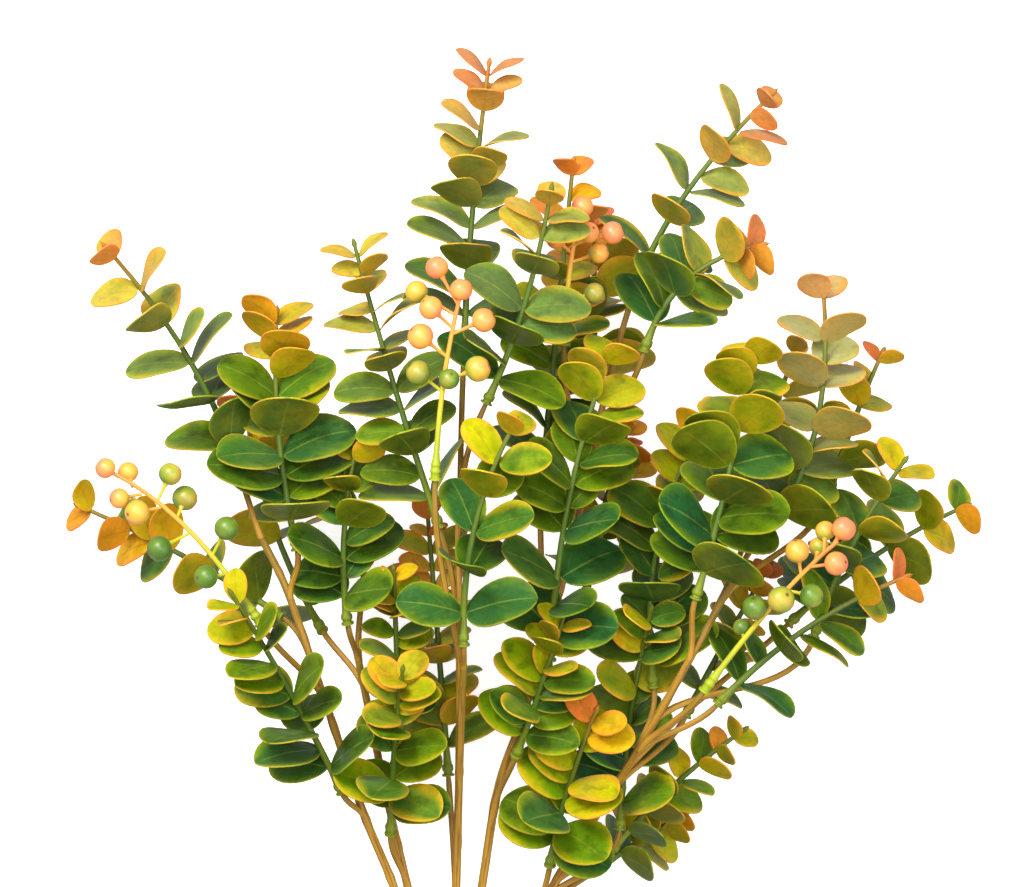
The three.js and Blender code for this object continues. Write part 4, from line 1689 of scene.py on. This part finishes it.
@dataclass
class MainStem:
    """A main stem, its foot in the stalk, and the twigs that fork from it.

    The peg is the stem's foot, which starts and ends at two depths under the stalk's upper end.
    """

    name: str
    branch: Branch
    foot: float = 2.35
    head: float = 1.8
    tip: float = 0.8
    peg: float = 2.2
    peg_depths: tuple[float, float] = (13.4, 1)
    sides: int = 12
    tone: tuple[float, float] = (0, 0.9)
    bands: int = 60
    rings: range = range(5, 60, 8)
    ring_swell: float = 1.14
    twig: float = 1.5
    twig_root: float = 1.25
    twig_bands: int = 16
    twig_root_bands: int = 4
    twig_seat: float = 1.2
    twig_end: float = 1.1
    twig_depth: float = 5
    twig_tone: tuple[float, float] = (0.25, 0.95)

    def build_twig(self, piece: PieceMesh, stem: Spline, shoot: Sprig | NutSpray) -> None:
        """Adds the twig that ends in a shoot's socket.

        Args:
            piece: The mesh that it goes in.
            stem: The main stem's centre line.
            shoot: The sprig or the spray that it carries.
        """
        start = stem.station(stem.where(shoot.leaves_at))
        seat = shoot_curve(shoot).station(0)
        away = seat.origin - start.origin
        reach = away.length * TWIG.reach
        leave = start.forward.lerp(away.normalized(), TWIG.splay)
        bend = Bezier((
            start.origin, start.origin + leave * reach, seat.origin - seat.forward * reach, seat.origin))
        steps = range(self.twig_bands + 1)
        stations = [bend.station(i / self.twig_bands) for i in steps]
        root = self.twig * self.twig_root
        radii = [mix(root, self.twig, min(i / self.twig_root_bands, 1)) for i in steps]
        radii[-1] = self.twig_seat
        seat.origin = seat.origin + seat.forward * self.twig_depth
        piece.tube([*stations, seat], [*radii, self.twig_end], tone=self.twig_tone)

    def build(self, finish: Material) -> bpy.types.Object:
        """Builds the stem with all its twigs.

        Args:
            finish: Its finish.

        Returns:
            The finished piece.
        """
        piece = PieceMesh()
        stem = branch_curve(self.branch)
        mouth = hole_centre(self.branch.hole)
        below = [stem.station(0) for _ in self.peg_depths]
        for station, depth in zip(below, self.peg_depths):
            station.origin = mouth - Vector((0, depth, 0))
        shares = [i / self.bands for i in range(self.bands + 1)]
        stations = [stem.station(share) for share in shares]
        radii = [mix(self.foot, self.head, share) for share in shares]
        for ring in self.rings:
            radii[ring] *= self.ring_swell
        radii[-1] *= self.tip
        piece.tube([*below, *stations], [self.peg, self.peg, *radii], sides=self.sides, tone=self.tone)
        for shoot in (*SPRIGS, *NUT_SPRAYS):
            if shoot.stem == self.name:
                self.build_twig(piece, stem, shoot)
        return piece.finish(f"{self.name}_round", (finish,), "stem", self.name)


@dataclass
class Stalk:
    """The gathered stalk, rounded over, which the stems' feet run into.

    Its rings are given by their place on the Y axis and their share of the radius.
    """

    name: str = "stalk"
    sides: int = 32
    tone: tuple[float, float] = (0, 0.2)
    rings: tuple[tuple[float, float], ...] = (
        (STALK.foot, 0.86), (STALK.foot + 1, 0.94), (STALK.foot + 12, 0.96), (-10, 1),
        (STALK.top - 1.2, 1), (STALK.top, 0.9))

    def build(self, finish: Material) -> bpy.types.Object:
        """Builds the stalk.

        Args:
            finish: Its finish.

        Returns:
            The finished piece.
        """
        piece = PieceMesh()
        radius = STALK.axis_height
        forward, side, front = Vector((0, 1, 0)), Vector((1, 0, 0)), Vector((0, 0, -1))
        stations = [Station(Vector((0, y, radius)), forward, side, front) for y, _ in self.rings]
        radii = [radius * share for _, share in self.rings]
        piece.tube(stations, radii, sides=self.sides, tone=self.tone)
        return piece.finish("stalk_round", (finish,), "stem", self.name)


# Studio


class Light(Enum):
    """The studio's soft lights: place over the spray, size and power."""

    KEY = ((-0.7, 1.0, 1.5), 0.9, 60)
    FILL = ((1.1, -0.4, 1.4), 1.2, 16)
    FRONT = ((0.1, 0.2, 2.6), 1.0, 36)


@dataclass
class Studio:
    """A pale floor, soft lights, and a camera that looks straight down.

    The middle and the height of the view are in millimetres round the stalk, the rest in metres.
    """

    middle: tuple[float, float] = (31, 313.25)
    height: float = 85
    distance: float = 5.0
    frame_width: float = 0.512
    sensor: float = 36
    far: float = 20
    floor_size: float = 6
    floor_tone: tuple[float, ...] = (0.9, 0.9, 0.9, 1)
    floor_rough: float = 0.9
    floor_glow: float = 0.6
    room_light: float = 0.7

    def centre(self) -> Vector:
        """The point that the camera looks at."""
        return PLACE @ Vector((*self.middle, self.height))

    def build_floor(self) -> None:
        """Adds the floor."""
        grid = bmesh.new()
        bmesh.ops.create_grid(grid, x_segments=1, y_segments=1, size=self.floor_size)
        data = bpy.data.meshes.new("floor")
        grid.to_mesh(data)
        grid.free()
        floor = bpy.data.objects.new("floor", data)
        bpy.context.scene.collection.objects.link(floor)
        paint = Shader("pale_floor")
        shader = paint.node("ShaderNodeBsdfPrincipled", {
            "Base Color": self.floor_tone, "Roughness": self.floor_rough, "Specular IOR Level": 0.0,
            "Emission Color": (1, 1, 1, 1), "Emission Strength": self.floor_glow})
        paint.node("ShaderNodeOutputMaterial", {0: shader.outputs[0]})
        data.materials.append(paint.material)
        floor.visible_diffuse = floor.visible_glossy = False

    def build_lights(self) -> None:
        """Adds the lights and the even light of the room."""
        world = bpy.data.worlds.new("room")
        world.use_nodes = True
        background = world.node_tree.nodes["Background"]
        background.inputs[0].default_value = (1, 1, 1, 1)
        background.inputs[1].default_value = self.room_light
        bpy.context.scene.world = world
        for light in Light:
            place, size, power = light.value
            data = bpy.data.lights.new(light.name.lower(), "AREA")
            data.size, data.energy = size, power
            lamp = bpy.data.objects.new(light.name.lower(), data)
            lamp.location = self.centre() + Vector(place)
            lamp.rotation_euler = (-Vector(place)).to_track_quat("-Z", "Y").to_euler()
            bpy.context.scene.collection.objects.link(lamp)

    def build_camera(self) -> None:
        """Adds the camera, far off and with a long lens."""
        data = bpy.data.cameras.new("camera")
        data.sensor_width = self.sensor
        data.lens = self.sensor * self.distance / self.frame_width
        data.clip_end = self.far
        camera = bpy.data.objects.new("camera", data)
        camera.location = self.centre() + UP * self.distance
        bpy.context.scene.collection.objects.link(camera)
        bpy.context.scene.camera = camera

    def build(self) -> None:
        """Builds the whole studio, whose colours are shown as they are."""
        bpy.context.scene.view_settings.view_transform = "Standard"
        self.build_floor()
        self.build_lights()
        self.build_camera()


def main() -> None:
    """Builds every piece in order."""
    logging.basicConfig(level=logging.INFO, format="%(message)s")
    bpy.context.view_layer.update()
    foliage, skin = LeafFinish().build(), NutFinish().build()
    bark, green, orange = MAIN_STEM.build(), SPRIG_STEM.build(), NUT_STALK.build()
    Stalk().build(bark)
    for name, branch in BRANCHES.items():
        MainStem(name, branch).build(bark)
    for index, spray in enumerate(NUT_SPRAYS):
        GumNutSpray(spray, index).build(orange, skin)
    sprigs = [LeafySprig(sprig, index) for index, sprig in enumerate(SPRIGS)]
    crowd = Crowd()
    grown = {sprig.index: sprig.grown_leaves() for sprig in sprigs}
    for leaf in (leaf for leaves in grown.values() for leaf in leaves):
        crowd.add(leaf)
    for sprig in sorted(sprigs, key=lambda each: -each.sprig.via[2]):
        sprig.build(crowd, grown[sprig.index], foliage, green)
    Studio().build()


if __name__ == "__main__":
    main()
